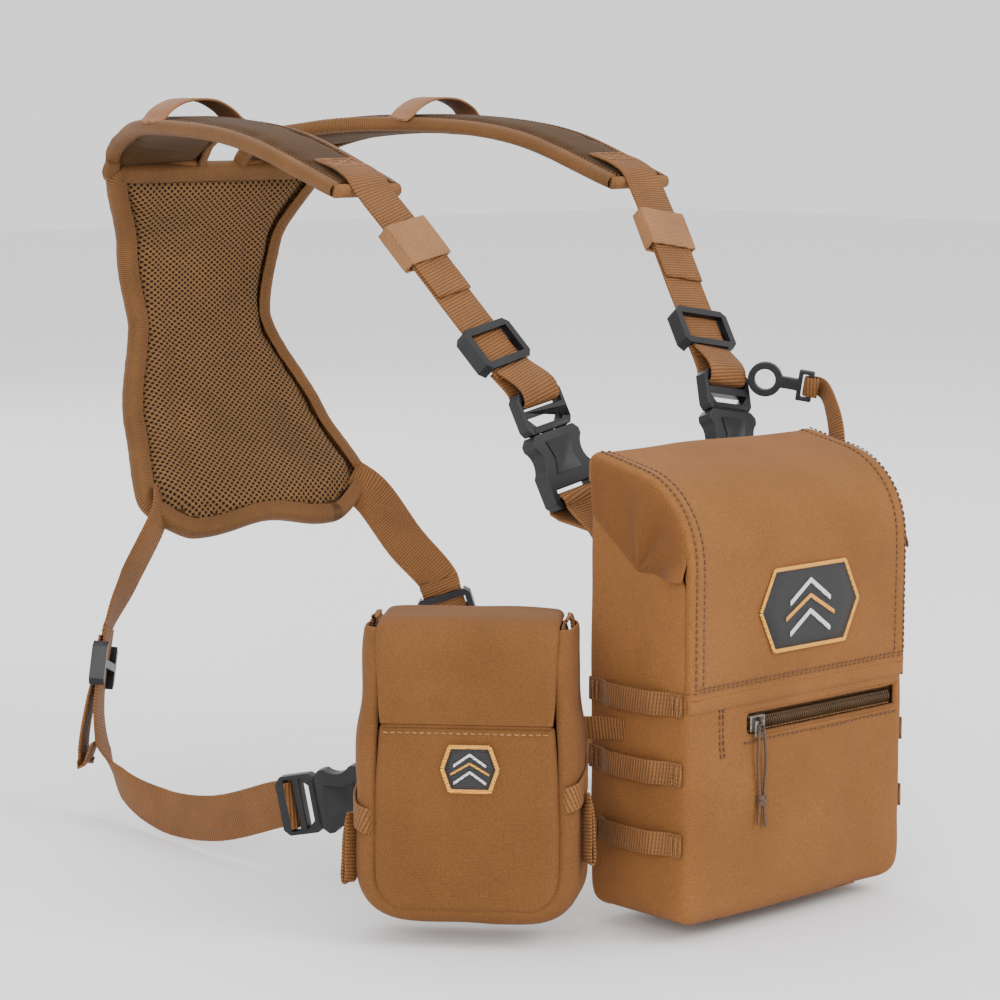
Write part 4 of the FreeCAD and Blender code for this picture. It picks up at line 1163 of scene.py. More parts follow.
@dataclass
class Lid:
    """Forward-opening lid: curved top, bound edges, stretch wings and badge."""

    bend_height: float = 172.0
    bend_radius: float = 42.0
    slope: float = math.radians(12)
    rear_radius: float = 5.0
    seam: float = 6.6

    def __post_init__(self) -> None:
        """Work out the profile's stretches."""
        self.front_run = self.bend_height - HINGE_HEIGHT
        self.bend_turn = math.pi / 2 - self.slope
        self.bend_run = self.bend_radius * self.bend_turn
        self.centre_y = -LID_FRONT + self.bend_radius
        bend_end_y = self.centre_y - self.bend_radius * math.sin(self.slope)
        self.top_run = (-self.rear_radius - bend_end_y) / math.cos(self.slope)
        self.rear_run = self.rear_radius * (math.pi / 2 + self.slope)
        self.length = self.front_run + self.bend_run + self.top_run + self.rear_run + 8.6

    def profile(self, run: float) -> tuple[float, float, Vector]:
        """Place on the side profile.

        Args:
            run: Distance from the hinge seam, in millimetres.

        Returns:
            y, z and the way out of the lid.
        """
        if run <= self.front_run:
            return -LID_FRONT, HINGE_HEIGHT + run, Vector((0, -1, 0))
        run -= self.front_run
        if run <= self.bend_run:
            turn = run / self.bend_radius
            out = Vector((0, -math.cos(turn), math.sin(turn)))
            reach = out * self.bend_radius
            return self.centre_y + reach.y, self.bend_height + reach.z, out
        end = Vector((0, -math.sin(self.slope), math.cos(self.slope)))
        y = self.centre_y + end.y * self.bend_radius
        z = self.bend_height + end.z * self.bend_radius
        run -= self.bend_run
        if run <= self.top_run:
            return y + run * math.cos(self.slope), z + run * math.sin(self.slope), end
        run -= self.top_run
        y += self.top_run * math.cos(self.slope)
        z += self.top_run * math.sin(self.slope)
        pivot = Vector((0, y, z)) - end * self.rear_radius
        turn = min(run / self.rear_radius, self.rear_run / self.rear_radius)
        out = Matrix.Rotation(-turn, 3, "X") @ end
        drop = max(0.0, run - self.rear_run)
        place = pivot + out * self.rear_radius
        return place.y, place.z - drop, out

    def top_at(self, u: float, v: float) -> Vector:
        """Lid's face: u is x, v the distance from the hinge seam."""
        y, z, out = self.profile(v)
        edge = HALF_WIDTH - abs(u)
        fold = 0.9 * (1 / (1 + math.exp((edge - self.seam) * 2.2)))
        crown = 1.6 * (1 - (u / HALF_WIDTH) ** 2) * math.sin(math.pi * v / self.length)
        loose = ripple((u, y, z), 1.2, 38, 9.0) * min(1.0, edge / 14) * min(1.0, v / 20)
        lift = fold + crown + loose - soft_corner(edge, 3.4) - 0.6
        hem = -0.9 * bump(v, 3.4, 1.6) + 0.5 * bump(v, 0, 2)
        return Vector((u, y, z)) + out * (lift + hem)

    def wing_at(self, side: Side) -> Surface:
        """Wing's surface: u turns about its inner corner from the back to the front, v runs outwards."""
        def at(u: float, v: float) -> Vector:
            """Surface of the wing, from its inner corner out to the lid's rim."""
            y, z, out = self.profile(self._rim(u))
            rear = max(0.0, 1 - u / 0.3)
            inner = Vector((0, -34 + 31 * rear, 167 + 24 * rear))
            rim = Vector((0, y, z)) - out * 1.6
            place = inner.lerp(rim, v)
            swell = math.sin(math.pi * min(v, 1.0)) ** 0.8
            folds = 2.3 * swell * math.sin(u * 17 + 0.6) * bump(u, 0.55, 0.3)
            sharp = 1.6 * swell * abs(math.sin(u * 11 + 1.1)) * bump(u, 0.5, 0.35)
            pucker = 6.0 * bump(place.y, -61, 7) * bump(place.z, 166, 6.5)
            edge = -1.2 * bump(v, 1.0, 0.06)
            x = HALF_WIDTH + 1.6 + folds + sharp + pucker + edge
            return Vector((side.value * x, place.y, place.z))

        return at

    def _rim(self, u: float) -> float:
        """Distance along the lid's edge that a share of the wing's fan reaches: back to front."""
        back = self.length - self.rear_run - 4
        front = self.front_run - 7
        return back + (front - back) * u

    def build(self) -> None:
        """Make the lid's pieces."""
        across = [-76, -75.2, -74, -72, -70.4, -69, -67.5, -64] + steps(-56, 56, 10)
        across += [64, 67.5, 69, 70.4, 72, 74, 75.2, 76]
        along = [0, 1.2, 2.4, 3.6, 5, 7, 11, 18] + steps(26, self.length - self.rear_run - 11, 18)
        along += [self.length - d for d in (15.5, 12.5, 10, 7, 4, 1.5, 0)]
        top = Cloth("lid_top", self.top_at, across, along, 2.6)
        finished(top.make(), PACK_CLOTH, "lid", "lid_panel")
        for side in Side:
            fan = Cloth(f"wing_{side.word}", self.wing_at(side), steps(0, 1, 30), steps(0, 1, 12), 1.4, 1)
            nodes = ("lid_wings",) if side is Side.RIGHT else ()
            finished(fan.make(), STRETCH_CLOTH, "lid", *nodes)
        self._rims()
        self._hem()
        self._sewing(top)
        self._badge()

    def _rims(self) -> None:
        """Rolled seam round each curved edge."""
        parts = []
        for side in Side:
            line = []
            for run in steps(3, self.length - 13, 60):
                y, z, out = self.profile(run)
                line.append(Vector((side.value * (HALF_WIDTH - 0.3), y, z)) - out * 1.9)
            parts.append(rod("rim", line, lambda s: 1.5 + 0.25 * math.sin(s * 90), 8))
        finished(joined("edge_seams", parts), PACK_CLOTH, "lid", "lid_binding")

    def _hem(self) -> None:
        """Folded lip under the hinge seam."""

        def at(u: float, v: float) -> Vector:
            """Surface of the rolled hem: u runs across, v round the roll."""
            turn = math.pi * v
            belly = 2.4 + ripple((u, 3, 7), 0.5, 12)
            y = -LID_FRONT + 0.9 - belly * math.sin(turn) * 0.85
            edge = soft_corner(HALF_WIDTH - abs(u), 3.0)
            return Vector((u, y + edge, HINGE_HEIGHT - 6.6 + 7.6 * (1 - math.cos(turn)) / 2))

        across = [-76, -75, -73] + steps(-68, 68, 20) + [73, 75, 76]
        lip = Cloth("hinge_lip", at, across, steps(0, 1, 6), 1.2, 1).make()
        finished(lip, PACK_CLOTH, (), "front_hem")
        start = SHOP.to_row((0, -LID_FRONT, HINGE_HEIGHT - 1.5))
        end = SHOP.to_row((0, -LID_FRONT, HINGE_HEIGHT + 1.0))
        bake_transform(lip)

    def _sewing(self, top: Cloth) -> None:
        """Rows of stitches along the lid's edges and its hem."""
        sewing = Sewing("lid_sewing", 3.2, 2.3, 0.42)
        for side in Side:
            for inset in (2.6, self.seam + 1.0):
                line, normals = [], []
                for run in steps(6, self.length - 16, 90):
                    away = self.profile(run)[2]
                    point, normal = top.outside(side.value * (HALF_WIDTH - inset), run, away, 0.15)
                    line.append(point)
                    normals.append(normal)
                sewing.run(line, normals)
        for run in (3.4, 5.4):
            places = [top.outside(u, run, Vector((0, -1, 0)), 0.12) for u in steps(-74, 74, 50)]
            sewing.run([p for p, _ in places], Vector((0, -1, 0)))
        finished(sewing.make(), SEWING, "lid")

    def _badge(self) -> None:
        """Six-sided embroidered patch with three chevrons."""
        centre = Vector((3.5, -LID_FRONT - 1.9, 146))
        badge = Badge("lid_patch", centre, Vector((1, 0, 0)), Vector((0, 0, 1)), 70, 40)
        badge.build("lid", "lid_badge")


@dataclass
class Badge:
    """Six-sided woven patch: dark field, merrowed edge and a device of plain chevrons."""

    name: str
    centre: Vector
    across: Vector
    up: Vector
    width: float
    height: float
    shape: tuple[tuple[float, float], ...] = (
        (-0.5, 0), (-0.36, -0.5), (0.36, -0.5), (0.5, 0), (0.36, 0.5), (-0.36, 0.5))

    def spot(self, u: float, v: float, lift: float = 0.0) -> Vector:
        """Point of the patch: u and v are millimetres from its middle."""
        out = self.across.cross(self.up)
        return self.centre + self.across * u + self.up * v + out * lift

    def outline(self, inset: float) -> list[Vector]:
        """Corners, moved in by a distance."""
        share_u = 1 - inset / (self.width / 2)
        share_v = 1 - inset / (self.height / 2)
        return [self.spot(u * self.width * share_u, v * self.height * share_v) for u, v in self.shape]

    def build(self, body: str, node: str) -> None:
        """Make the field, the edge and the device."""
        out = self.across.cross(self.up)
        corners = self.outline(0.8)
        rings = [[self.centre.lerp(c, s) for c in self._dense(corners)] for s in (0.02, 0.35, 0.7, 1.0)]
        points = [p + out * 0.45 for ring in rings for p in ring]
        count = len(rings[0])
        faces = [tuple(range(count))[::-1]]
        for r in range(len(rings) - 1):
            for k in range(count):
                j = (k + 1) % count
                faces.append((r * count + k, r * count + j, (r + 1) * count + j, (r + 1) * count + k))
        base = len(points)
        points += [p - out * 0.9 for p in rings[-1]]
        for k in range(count):
            j = (k + 1) % count
            faces.append(((len(rings) - 1) * count + k, (len(rings) - 1) * count + j, base + j, base + k))
        field_piece = new_object(f"{self.name}_field", [SHOP.to_row(p) for p in points], faces)
        finished(field_piece, BLACK_TWILL, body, node)
        edge = Sewing(f"{self.name}_edge", 0.95, 2.1, 0.62)
        ring = self._dense(self.outline(0.5)) + [self._dense(self.outline(0.5))[0]]
        for place, along in walk(ring, edge.pitch):
            edge.stitch(place + out * 0.5, (out.cross(along) + along * 0.25).normalized(), out, 0.0)
        finished(edge.make(), GOLD_THREAD, body)
        scale = self.height / 40
        white = Sewing(f"{self.name}_peaks", 0.62, 2.6 * scale, 0.36)
        gold = Sewing(f"{self.name}_ridge", 0.62, 2.2 * scale, 0.36)
        for sewing, shift, reach in ((white, 7.5, 14.0), (gold, 0.0, 17.0), (white, -7.5, 14.0)):
            for turn in (-1, 1):
                tip = self.spot(0, shift * scale + 5 * scale)
                arm = [tip, self.spot(turn * reach * scale, (shift - 5) * scale)]
                for place, along in walk(arm, sewing.pitch):
                    sewing.stitch(place + out * 0.75, (self.up + along * 0.1).normalized(), out, 0.0)
        finished(white.make(), WHITE_THREAD, body)
        finished(gold.make(), GOLD_THREAD, body)

    @staticmethod
    def _dense(corners: Sequence[Vector]) -> list[Vector]:
        """Corners with points between them, for a closed outline."""
        line = []
        for a, b in zip(corners, list(corners[1:]) + [corners[0]]):
            line += [a.lerp(b, k / 6) for k in range(6)]
        return line


# ------------------------------------------------------------------ zip


@dataclass
class PocketZip:
    """Coil zip of the front pocket, with its slider and knotted cord pull."""

    left: float = -38.0
    right: float = 70.0
    height: float = 93.0
    pitch: float = 1.5

    def build(self) -> None:
        """Make the tape, coil, slider and pull."""
        def tape_at(u: float, v: float) -> Vector:
            """Surface of the zip tape, pressed in along both edges."""
            fold = 1.1 * bump(v, self.height + 5.2, 1.6) + 0.9 * bump(v, self.height - 5.2, 1.6)
            return Vector((u, -DEPTH + 3.4 - fold + ripple((u, 0, v), 0.3, 14), v))

        tape = Cloth("zip_tape_cloth", tape_at, steps(self.left - 4, self.right + 2.5, 24),
                     steps(self.height - 9.6, self.height + 9.6, 12), 0.9, 1)
        finished(tape.make(), TAPE, "harness", "zipper_tape")
        self._coil()
        self._edges()
        moulding("zipper_slider", "slider_body", SLIDER, "zip_slider", 0.45)
        self._slider_bail()
        self._pull()

    def _coil(self) -> None:
        """Meshed coil: loops from each side that lean past one another."""
        parts = []
        span = self.right - self.left - 4
        count = int(span / self.pitch)
        for k in range(count):
            x = self.left + 2 + k * self.pitch
            for turn in (-1, 1):
                shift = 0.0 if turn > 0 else self.pitch / 2
                line = [Vector((x + shift, -DEPTH + 2.2, self.height + turn * 2.5)),
                        Vector((x + shift, -DEPTH + 0.7, self.height + turn * 2.3)),
                        Vector((x + shift, -DEPTH + 0.3, self.height + turn * 0.6)),
                        Vector((x + shift + 0.1, -DEPTH + 0.7, self.height - turn * 0.7))]
                parts.append(rod("tooth", line, 0.46, 5))
        finished(joined("zip_teeth", parts), COIL, "harness", "zipper_coil")

    def _edges(self) -> None:
        """Folded window edges on both sides of the coil and the corded lower edge."""
        parts = []
        for z, radius in ((self.height - 5.7, 1.15), (self.height + 5.9, 1.0)):
            line = [Vector((x, -DEPTH - 0.3 + ripple((x, z, 0), 0.4, 9), z + ripple((x, 0, z), 0.3, 16)))
                    for x in steps(self.left - 1, self.right + 1, 50)]
            parts.append(rod("lip", line, radius, 8))
        for x in (self.left, self.right):
            line = [Vector((x, -DEPTH - 0.2, self.height + s)) for s in steps(-6, 6, 6)]
            parts.append(rod("lip", line, 1.0, 8))
        finished(joined("window_edges", parts), PACK_CLOTH, "harness")
        sewing = Sewing("window_sewing", 2.2, 1.8, 0.36)
        for z in (self.height - 4.2, self.height + 4.4):
            line = [Vector((x, -DEPTH + 1.9, z)) for x in steps(self.left + 1, self.right - 1, 20)]
            sewing.run(line, Vector((0, -1, 0)))
        finished(sewing.make(), PALE_SEWING, "harness")

    def _slider_bail(self) -> None:
        """Wire bail over the slider, with the lug that the cord goes through."""
        x = self.left + 7
        y = -DEPTH - 2.4
        arch = [Vector((x, y, self.height + 2.6)), Vector((x, y - 1.9, self.height + 1.8)),
                Vector((x, y - 2.3, self.height + 0.4)), Vector((x, y - 1.6, self.height - 0.8)),
                Vector((x, y - 0.2, self.height - 1.6))]
        bail = rod("slider_bail", smooth_points(arch, 4), 0.75, 8)
        finished(bail, SLIDER, "zip_slider")
        middle = Vector((x, y - 2.1, self.height - 2.4))
        ring = [middle + Vector((1.9 * math.cos(t), 0.3 * math.sin(t), 2.1 * math.sin(t)))
                for t in steps(0, math.tau * 23 / 24, 23)]
        finished(rod("slider_lug", ring, 0.62, 7, closed=True), SLIDER, "zip_slider")

    def _pull(self) -> None:
        """Two cord legs that hang from the lug through one knot."""
        routes = {
            "pull_leg_a": ("pull_cord_a", 0.0463, [
                (-32.6, -71.2, 90.5), (-34.2, -72.0, 79.5), (-33.9, -72.1, 67.5), (-32.1, -71.8, 56.0),
                (-33.8, -72.0, 44.5)]),
            "pull_leg_b": ("pull_cord_b", 0.0477, [
                (-29.4, -71.2, 90.5), (-28.3, -72.0, 79.5), (-28.9, -72.1, 67.5), (-30.1, -71.8, 56.0),
                (-28.4, -72.0, 43.0)]),
        }
        knot = self._knot()
        finished(knot, CORDAGE, "zip_pull", "pull_knot")
        for name, (node, length, route) in routes.items():
            curve = bpy.data.curves.new(name, "CURVE")
            curve.dimensions = "3D"
            spline = curve.splines.new("NURBS")
            spline.points.add(len(route) - 1)
            for point, place in zip(spline.points, route):
                point.co = (*SHOP.to_row(place), 1.0)
            spline.order_u = 3
            spline.use_endpoint_u = True
            spline.resolution_u = 10
            curve.bevel_depth = 0.8 * MM
            curve.bevel_resolution = 3
            curve.use_fill_caps = True
            leg = bpy.data.objects.new(name, curve)
            bpy.context.scene.collection.objects.link(leg)
            finished(leg, CORDAGE, "zip_pull", node)
            SHOP.to_row(route[0])

    def _knot(self) -> bpy.types.Object:
        """Overhand knot of both legs: two wound loops pulled tight."""
        centre = Vector((-31.1, -71.8, 56.0))
        parts = []
        for turn, lift in ((1, 0.9), (-1, -0.7)):
            line = []
            for t in steps(0, math.tau * 35 / 36, 35):
                wave = 0.9 * math.sin(2 * t + turn)
                line.append(centre + Vector((2.1 * math.cos(t), 1.5 * math.sin(t), lift + wave)))
            parts.append(rod("turn", line, 0.85, 8, closed=True))
        core = [centre + Vector((0, 0, s)) for s in steps(-2.6, 2.6, 6)]
        parts.append(rod("core", core, lambda s: 1.1 + 0.7 * math.sin(math.pi * s), 10))
        return joined("cord_knot", parts)


# ------------------------------------------------------------------ rangefinder pouch


@dataclass
class RangefinderPouch:
    """Side pouch: bulging gusset, front panel sewn into it, flap lid, badge and webbing tabs."""

    base: Triple = (-124.4, 28.0, 2.0)
    turn: float = math.radians(-47.8)
    half: float = 52.5
    depth: float = 42.0
    height: float = 144.0
    hinge: float = 96.0
    face_half: float = 43.0
    face_corner: float = 16.0
    bend: float = 15.0

    def out(self, x: float, y: float, z: float) -> Vector:
        """Point of the pouch's own frame in the pack's frame."""
        c, s = math.cos(self.turn), math.sin(self.turn)
        return Vector((self.base[0] + x * c - y * s, self.base[1] + x * s + y * c, self.base[2] + z))

    def way(self, x: float, y: float, z: float) -> Vector:
        """Direction of the pouch's own frame in the pack's frame."""
        return self.out(x, y, z) - self.out(0, 0, 0)

    def outline(
        self, share: float, half: float, corner: float, top: float, low: float
    ) -> tuple[float, float, Vector]:
        """Place on a U-shaped outline.

        Args:
            share: 0 at the top on one side, 1 at the top on the other.
            half: Half its width.
            corner: Radius of its lower corners.
            top: Height of its open end.
            low: Height of its lower edge.

        Returns:
            x, z and the way outwards in the x-z plane.
        """
        leg = top - low - corner
        arc = corner * math.pi / 2
        flat = 2 * (half - corner)
        run = share * (2 * leg + 2 * arc + flat)
        if run <= leg:
            return -half, top - run, Vector((-1, 0, 0))
        run -= leg
        if run <= arc:
            t = run / corner
            out = Vector((-math.cos(t), 0, -math.sin(t)))
            return -half + corner + out.x * corner, low + corner + out.z * corner, out
        run -= arc
        if run <= flat:
            return -half + corner + run, low, Vector((0, 0, -1))
        run -= flat
        if run <= arc:
            t = run / corner
            out = Vector((math.sin(t), 0, -math.cos(t)))
            return half - corner + out.x * corner, low + corner + out.z * corner, out
        return half, low + corner + run - arc, Vector((1, 0, 0))

    def gusset_at(self, u: float, v: float) -> Vector:
        """Gusset: u runs round the U, v from the back to the seam in front."""
        stops = (
            (0.0, -1.2, 1.6), (0.12, -5, 0.2), (0.3, -13, -0.6), (0.5, -23, -1.0), (0.66, -31, -0.4),
            (0.78, -36.5, 1.4), (0.87, -39.6, 4.2), (0.94, -40.3, 7.2), (0.98, -39.2, 9.0), (1.0, -37.4, 9.7))
        y, inset = stops[-1][1], stops[-1][2]
        for (a, ya, ia), (b, yb, ib) in zip(stops, stops[1:]):
            if v <= b:
                share = (v - a) / (b - a)
                y, inset = ya + (yb - ya) * share, ia + (ib - ia) * share
                break
        top = self.hinge + 45
        x, z, out = self.outline(u, self.half, 24.0, top, 0.8)
        belly = math.sin(math.pi * min(v * 1.15, 1.0))
        loose = ripple((x, y * 1.4, z), 2.6, 24, 12.0) * belly
        pinch = -2.2 * (bump(z, 63, 7) + bump(z, 104, 9)) * belly * (1 if abs(out.x) > 0.8 else 0)
        taper = -4.5 * max(0.0, (z - 88) / 53) * abs(out.x)
        rise = max(0.0, z - self.hinge - 31)
        y *= 1 - 0.2 * min(1.0, rise / 13) ** 1.6
        x += out.x * (-inset + loose + pinch + taper)
        z += out.z * (-inset + loose)
        return self.out(x, y + ripple((x, 9, z), 0.8, 18), z)

    def face_at(self, u: float, v: float) -> Vector:
        """Front panel: u is a share of its width from -1 to 1, v its height."""
        low = 8.0
        rest = max(0.0, self.face_corner - (v - low))
        half = self.face_half - self.face_corner + math.sqrt(max(self.face_corner**2 - rest**2, 0.0))
        half -= 2.4 * max(0.0, (v - 60) / 36)
        x = u * half
        edge = min((1 - abs(u)) * half, v - low)
        belly = 2.4 * (1 - u * u) * math.sin(math.pi * min(max(v - low, 0) / 110, 1))
        loose = ripple((x, 3, v), 1.0, 30, 2.0) * min(1.0, edge / 10)
        calm = min(1.0, (self.hinge + 0.6 - v) / 17)
        return self.out(x, -self.depth + 1.3 + soft_corner(edge, 3.6) - (1.0 + belly + loose) * calm, v)

    def lid_at(self, u: float, v: float) -> Vector:
        """Flap lid: u is a share of its width, v the distance from the hinge seam."""
        front = self.height - self.bend - self.hinge
        arc = self.bend * math.pi / 2
        half = self.face_half - 2.6 + 1.6 * min(1.0, v / 40)
        x = u * half
        edge = (1 - abs(u)) * half
        lift = 1.0 * (1 - u * u) - soft_corner(edge, 3.0) + ripple((x, v, 8), 0.9, 26) * min(1.0, edge / 9)
        if v <= front:
            rise = min(1.0, max(0.0, v - 2) / 15)
            return self.out(x, -self.depth + 0.6 - (1.2 + lift) * rise, self.hinge + v)
        if v <= front + arc:
            t = (v - front) / self.bend
            radius = self.bend + lift + 0.4
            return self.out(x, -self.depth + self.bend - radius * math.cos(t),
                            self.height - self.bend + radius * math.sin(t))
        back = v - front - arc
        return self.out(x, -self.depth + self.bend + back, self.height + lift + 0.4)

    def back_at(self, u: float, v: float) -> Vector:
        """Back panel."""
        rest = max(0.0, 14 - v)
        half = self.half - 1 - 14 + math.sqrt(max(196 - rest * rest, 0.0))
        return self.out(u * (half - 0.13 * max(0.0, v - 88)), -1.2 + ripple((u * half, 1, v), 0.7, 30), v)

    def build(self) -> None:
        """Make the pouch's pieces."""
        depths = [0, 0.06, 0.12, 0.2, 0.3, 0.4, 0.5, 0.6, 0.7, 0.78, 0.84, 0.89, 0.93, 0.96, 0.98, 1]
        gusset = Cloth("pouch_gusset", self.gusset_at, steps(0, 1, 60), depths, 1.8)
        finished(gusset.make(), POUCH_CLOTH, "harness", "rf_gusset")
        shares = [-1, -0.985, -0.96, -0.92] + steps(-0.82, 0.82, 10) + [0.92, 0.96, 0.985, 1]
        heights = [8, 8.4, 9.4, 11, 14, 18] + steps(24, self.hinge + 0.4, 9)
        face = Cloth("pouch_face", self.face_at, shares, heights, 2.0)
        finished(face.make(), POUCH_CLOTH, "harness", "rf_front_panel")
        finished(Cloth("pouch_back", self.back_at, steps(-1, 1, 10), steps(0.8, 141.4, 12), 2.2).make(),
                 POUCH_CLOTH, "harness", "rf_back_panel")
        reach = self.height - self.bend - self.hinge + self.bend * math.pi / 2 + self.depth - self.bend
        runs = [1.0, 2.0, 3.6, 6.5] + steps(11, reach - 2, 17) + [reach]
        lid = Cloth("pouch_lid", self.lid_at, shares, runs, 2.0)
        finished(lid.make(), POUCH_CLOTH, "rf_lid", "rf_lid")
        self._hinge_seam()
        self._corners()
        self._tabs()
        centre = self.out(2, -self.depth - 3.0, 77)
        badge = Badge("pouch_patch", centre, self.way(1, 0, 0), Vector((0, 0, 1)), 27, 22)
        badge.build("harness", "rf_badge")

    def _hinge_seam(self) -> None:
        """Sewn fold that the flap turns on, and its stitches."""
        line = [self.out(x, -self.depth - 0.15 - 0.2 * (1 - (x / 41) ** 2), self.hinge - 2.9)
                for x in steps(-39.5, 39.5, 20)]
        sewing = Sewing("pouch_lid_sewing", 3.4, 2.5, 0.5).run(line, self.way(0, -1, 0))
        finished(sewing.make(), PALE_SEWING, "harness")
        ridge = [p + Vector((0, 0, 3.1)) + self.way(0, 1, 0) * 0.6 for p in line]
        fold = rod("pouch_fold", ridge, 0.9, 8)
        finished(fold, POUCH_CLOTH, ())
        lower = SHOP.to_row(self.out(0, -self.depth, self.hinge - 1.0))
        upper = SHOP.to_row(self.out(0, -self.depth, self.hinge + 2.0))
        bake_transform(fold)

    def _corners(self) -> None:
        """Folded webbing nubs at the top corners and the side wings beside the flap."""
        parts = []
        for turn in (-1, 1):
            route = ((47.0, -9, 128), (47.6, -10, 137), (46.0, -11, 143.5),
                     (43.5, -11.5, 140), (44.0, -11.5, 130))
            line = [tuple(self.out(turn * x, y, z)) for x, y, z in route]
            parts.append(Strap("nub", line, tuple(self.way(0, 1, 0)), 13, 1.5, 5, 2, 0.1).make())
        finished(joined("pouch_nubs", parts), WEBBING, "harness")
        wings = []
        for turn in (-1, 1):
            def at(u: float, v: float, turn: int = turn) -> Vector:
                """Wing's surface: u runs from the front to the back, v upwards."""
                y = -35.0 + 30.0 * u
                top = self.height - 2.2 - 9.0 * max(0.0, 1 - u / 0.42) ** 2
                z = (self.hinge + 8) + (top - self.hinge - 8) * v
                swell = math.sin(math.pi * v) * 1.6 + 1.2 * math.sin(u * 9 + v * 4) * (1 - v)
                x = 45.5 - 2.4 * v * v + swell * 0.5
                return self.out(turn * x, y, z)
            wing = Cloth("wing", at, steps(0, 1, 12), steps(0, 1, 10), 1.6, 1)
            wings.append(wing.make())
        finished(joined("pouch_wings", wings), STRETCH_CLOTH, "harness")

    def _tabs(self) -> None:
        """Slanted tabs with folded pulls, and the link to the pack."""
        parts = []
        tacks = Sewing("pouch_tab_sewing", 1.5, 1.4, 0.34)
        for turn, height in ((-1, 58), (1, 70)):
            x = turn * (self.half + 0.6)
            band = [
                (turn * 44.0, -38.6, height - 9), (turn * 47.6, -41.6, height - 7.5),
                (turn * 51.8, -39.4, height - 6), (x + turn * 0.6, -33, height - 4),
                (x + turn * 1.4, -20, height - 1), (x, -6, height + 2)]
            line = [tuple(self.out(*p)) for p in band]
            parts.append(Strap("band", line, (0, 0, 1), 12, 1.5, 5, 2, 0.15).make())
            ends = [self.out(x + turn * 1.7, -28, height + rise) for rise in (-8.0, 2.5)]
            tacks.run(ends, self.way(turn, 0, 0))
            out = x + turn * 1.6
            fold = ((0, -31, 6), (1.9, -31, 15), (2.6, -32, 28), (2.9, -32.5, 37),
                    (2.2, -33, 39.2), (1.2, -33, 37), (1.1, -32, 26), (0.4, -31, 10))
            pull = [(out + turn * away, y, height - drop) for away, y, drop in fold]
            facing = tuple(self.way(turn * -0.55, 0.84, 0))
            line = [tuple(self.out(*p)) for p in pull]
            parts.append(Strap("pull", line, facing, 9, 1.2, 5, 2, 0.1).make())
        link = [(-104.5, 7.5, 90), (-96, -2.5, 90), (-89.4, -9.4, 90),
                (-83, -16, 90), (-79.5, -26, 90), (-78.6, -38, 90)]
        parts.append(Strap("link", link, (0, 0, 1), 11, 1.3, 5, 2, 0.15).make())
        finished(joined("pouch_tabs", parts), WEBBING, "harness", "rf_tabs")
        finished(tacks.make(), PALE_SEWING, "harness")


# ------------------------------------------------------------------ yoke


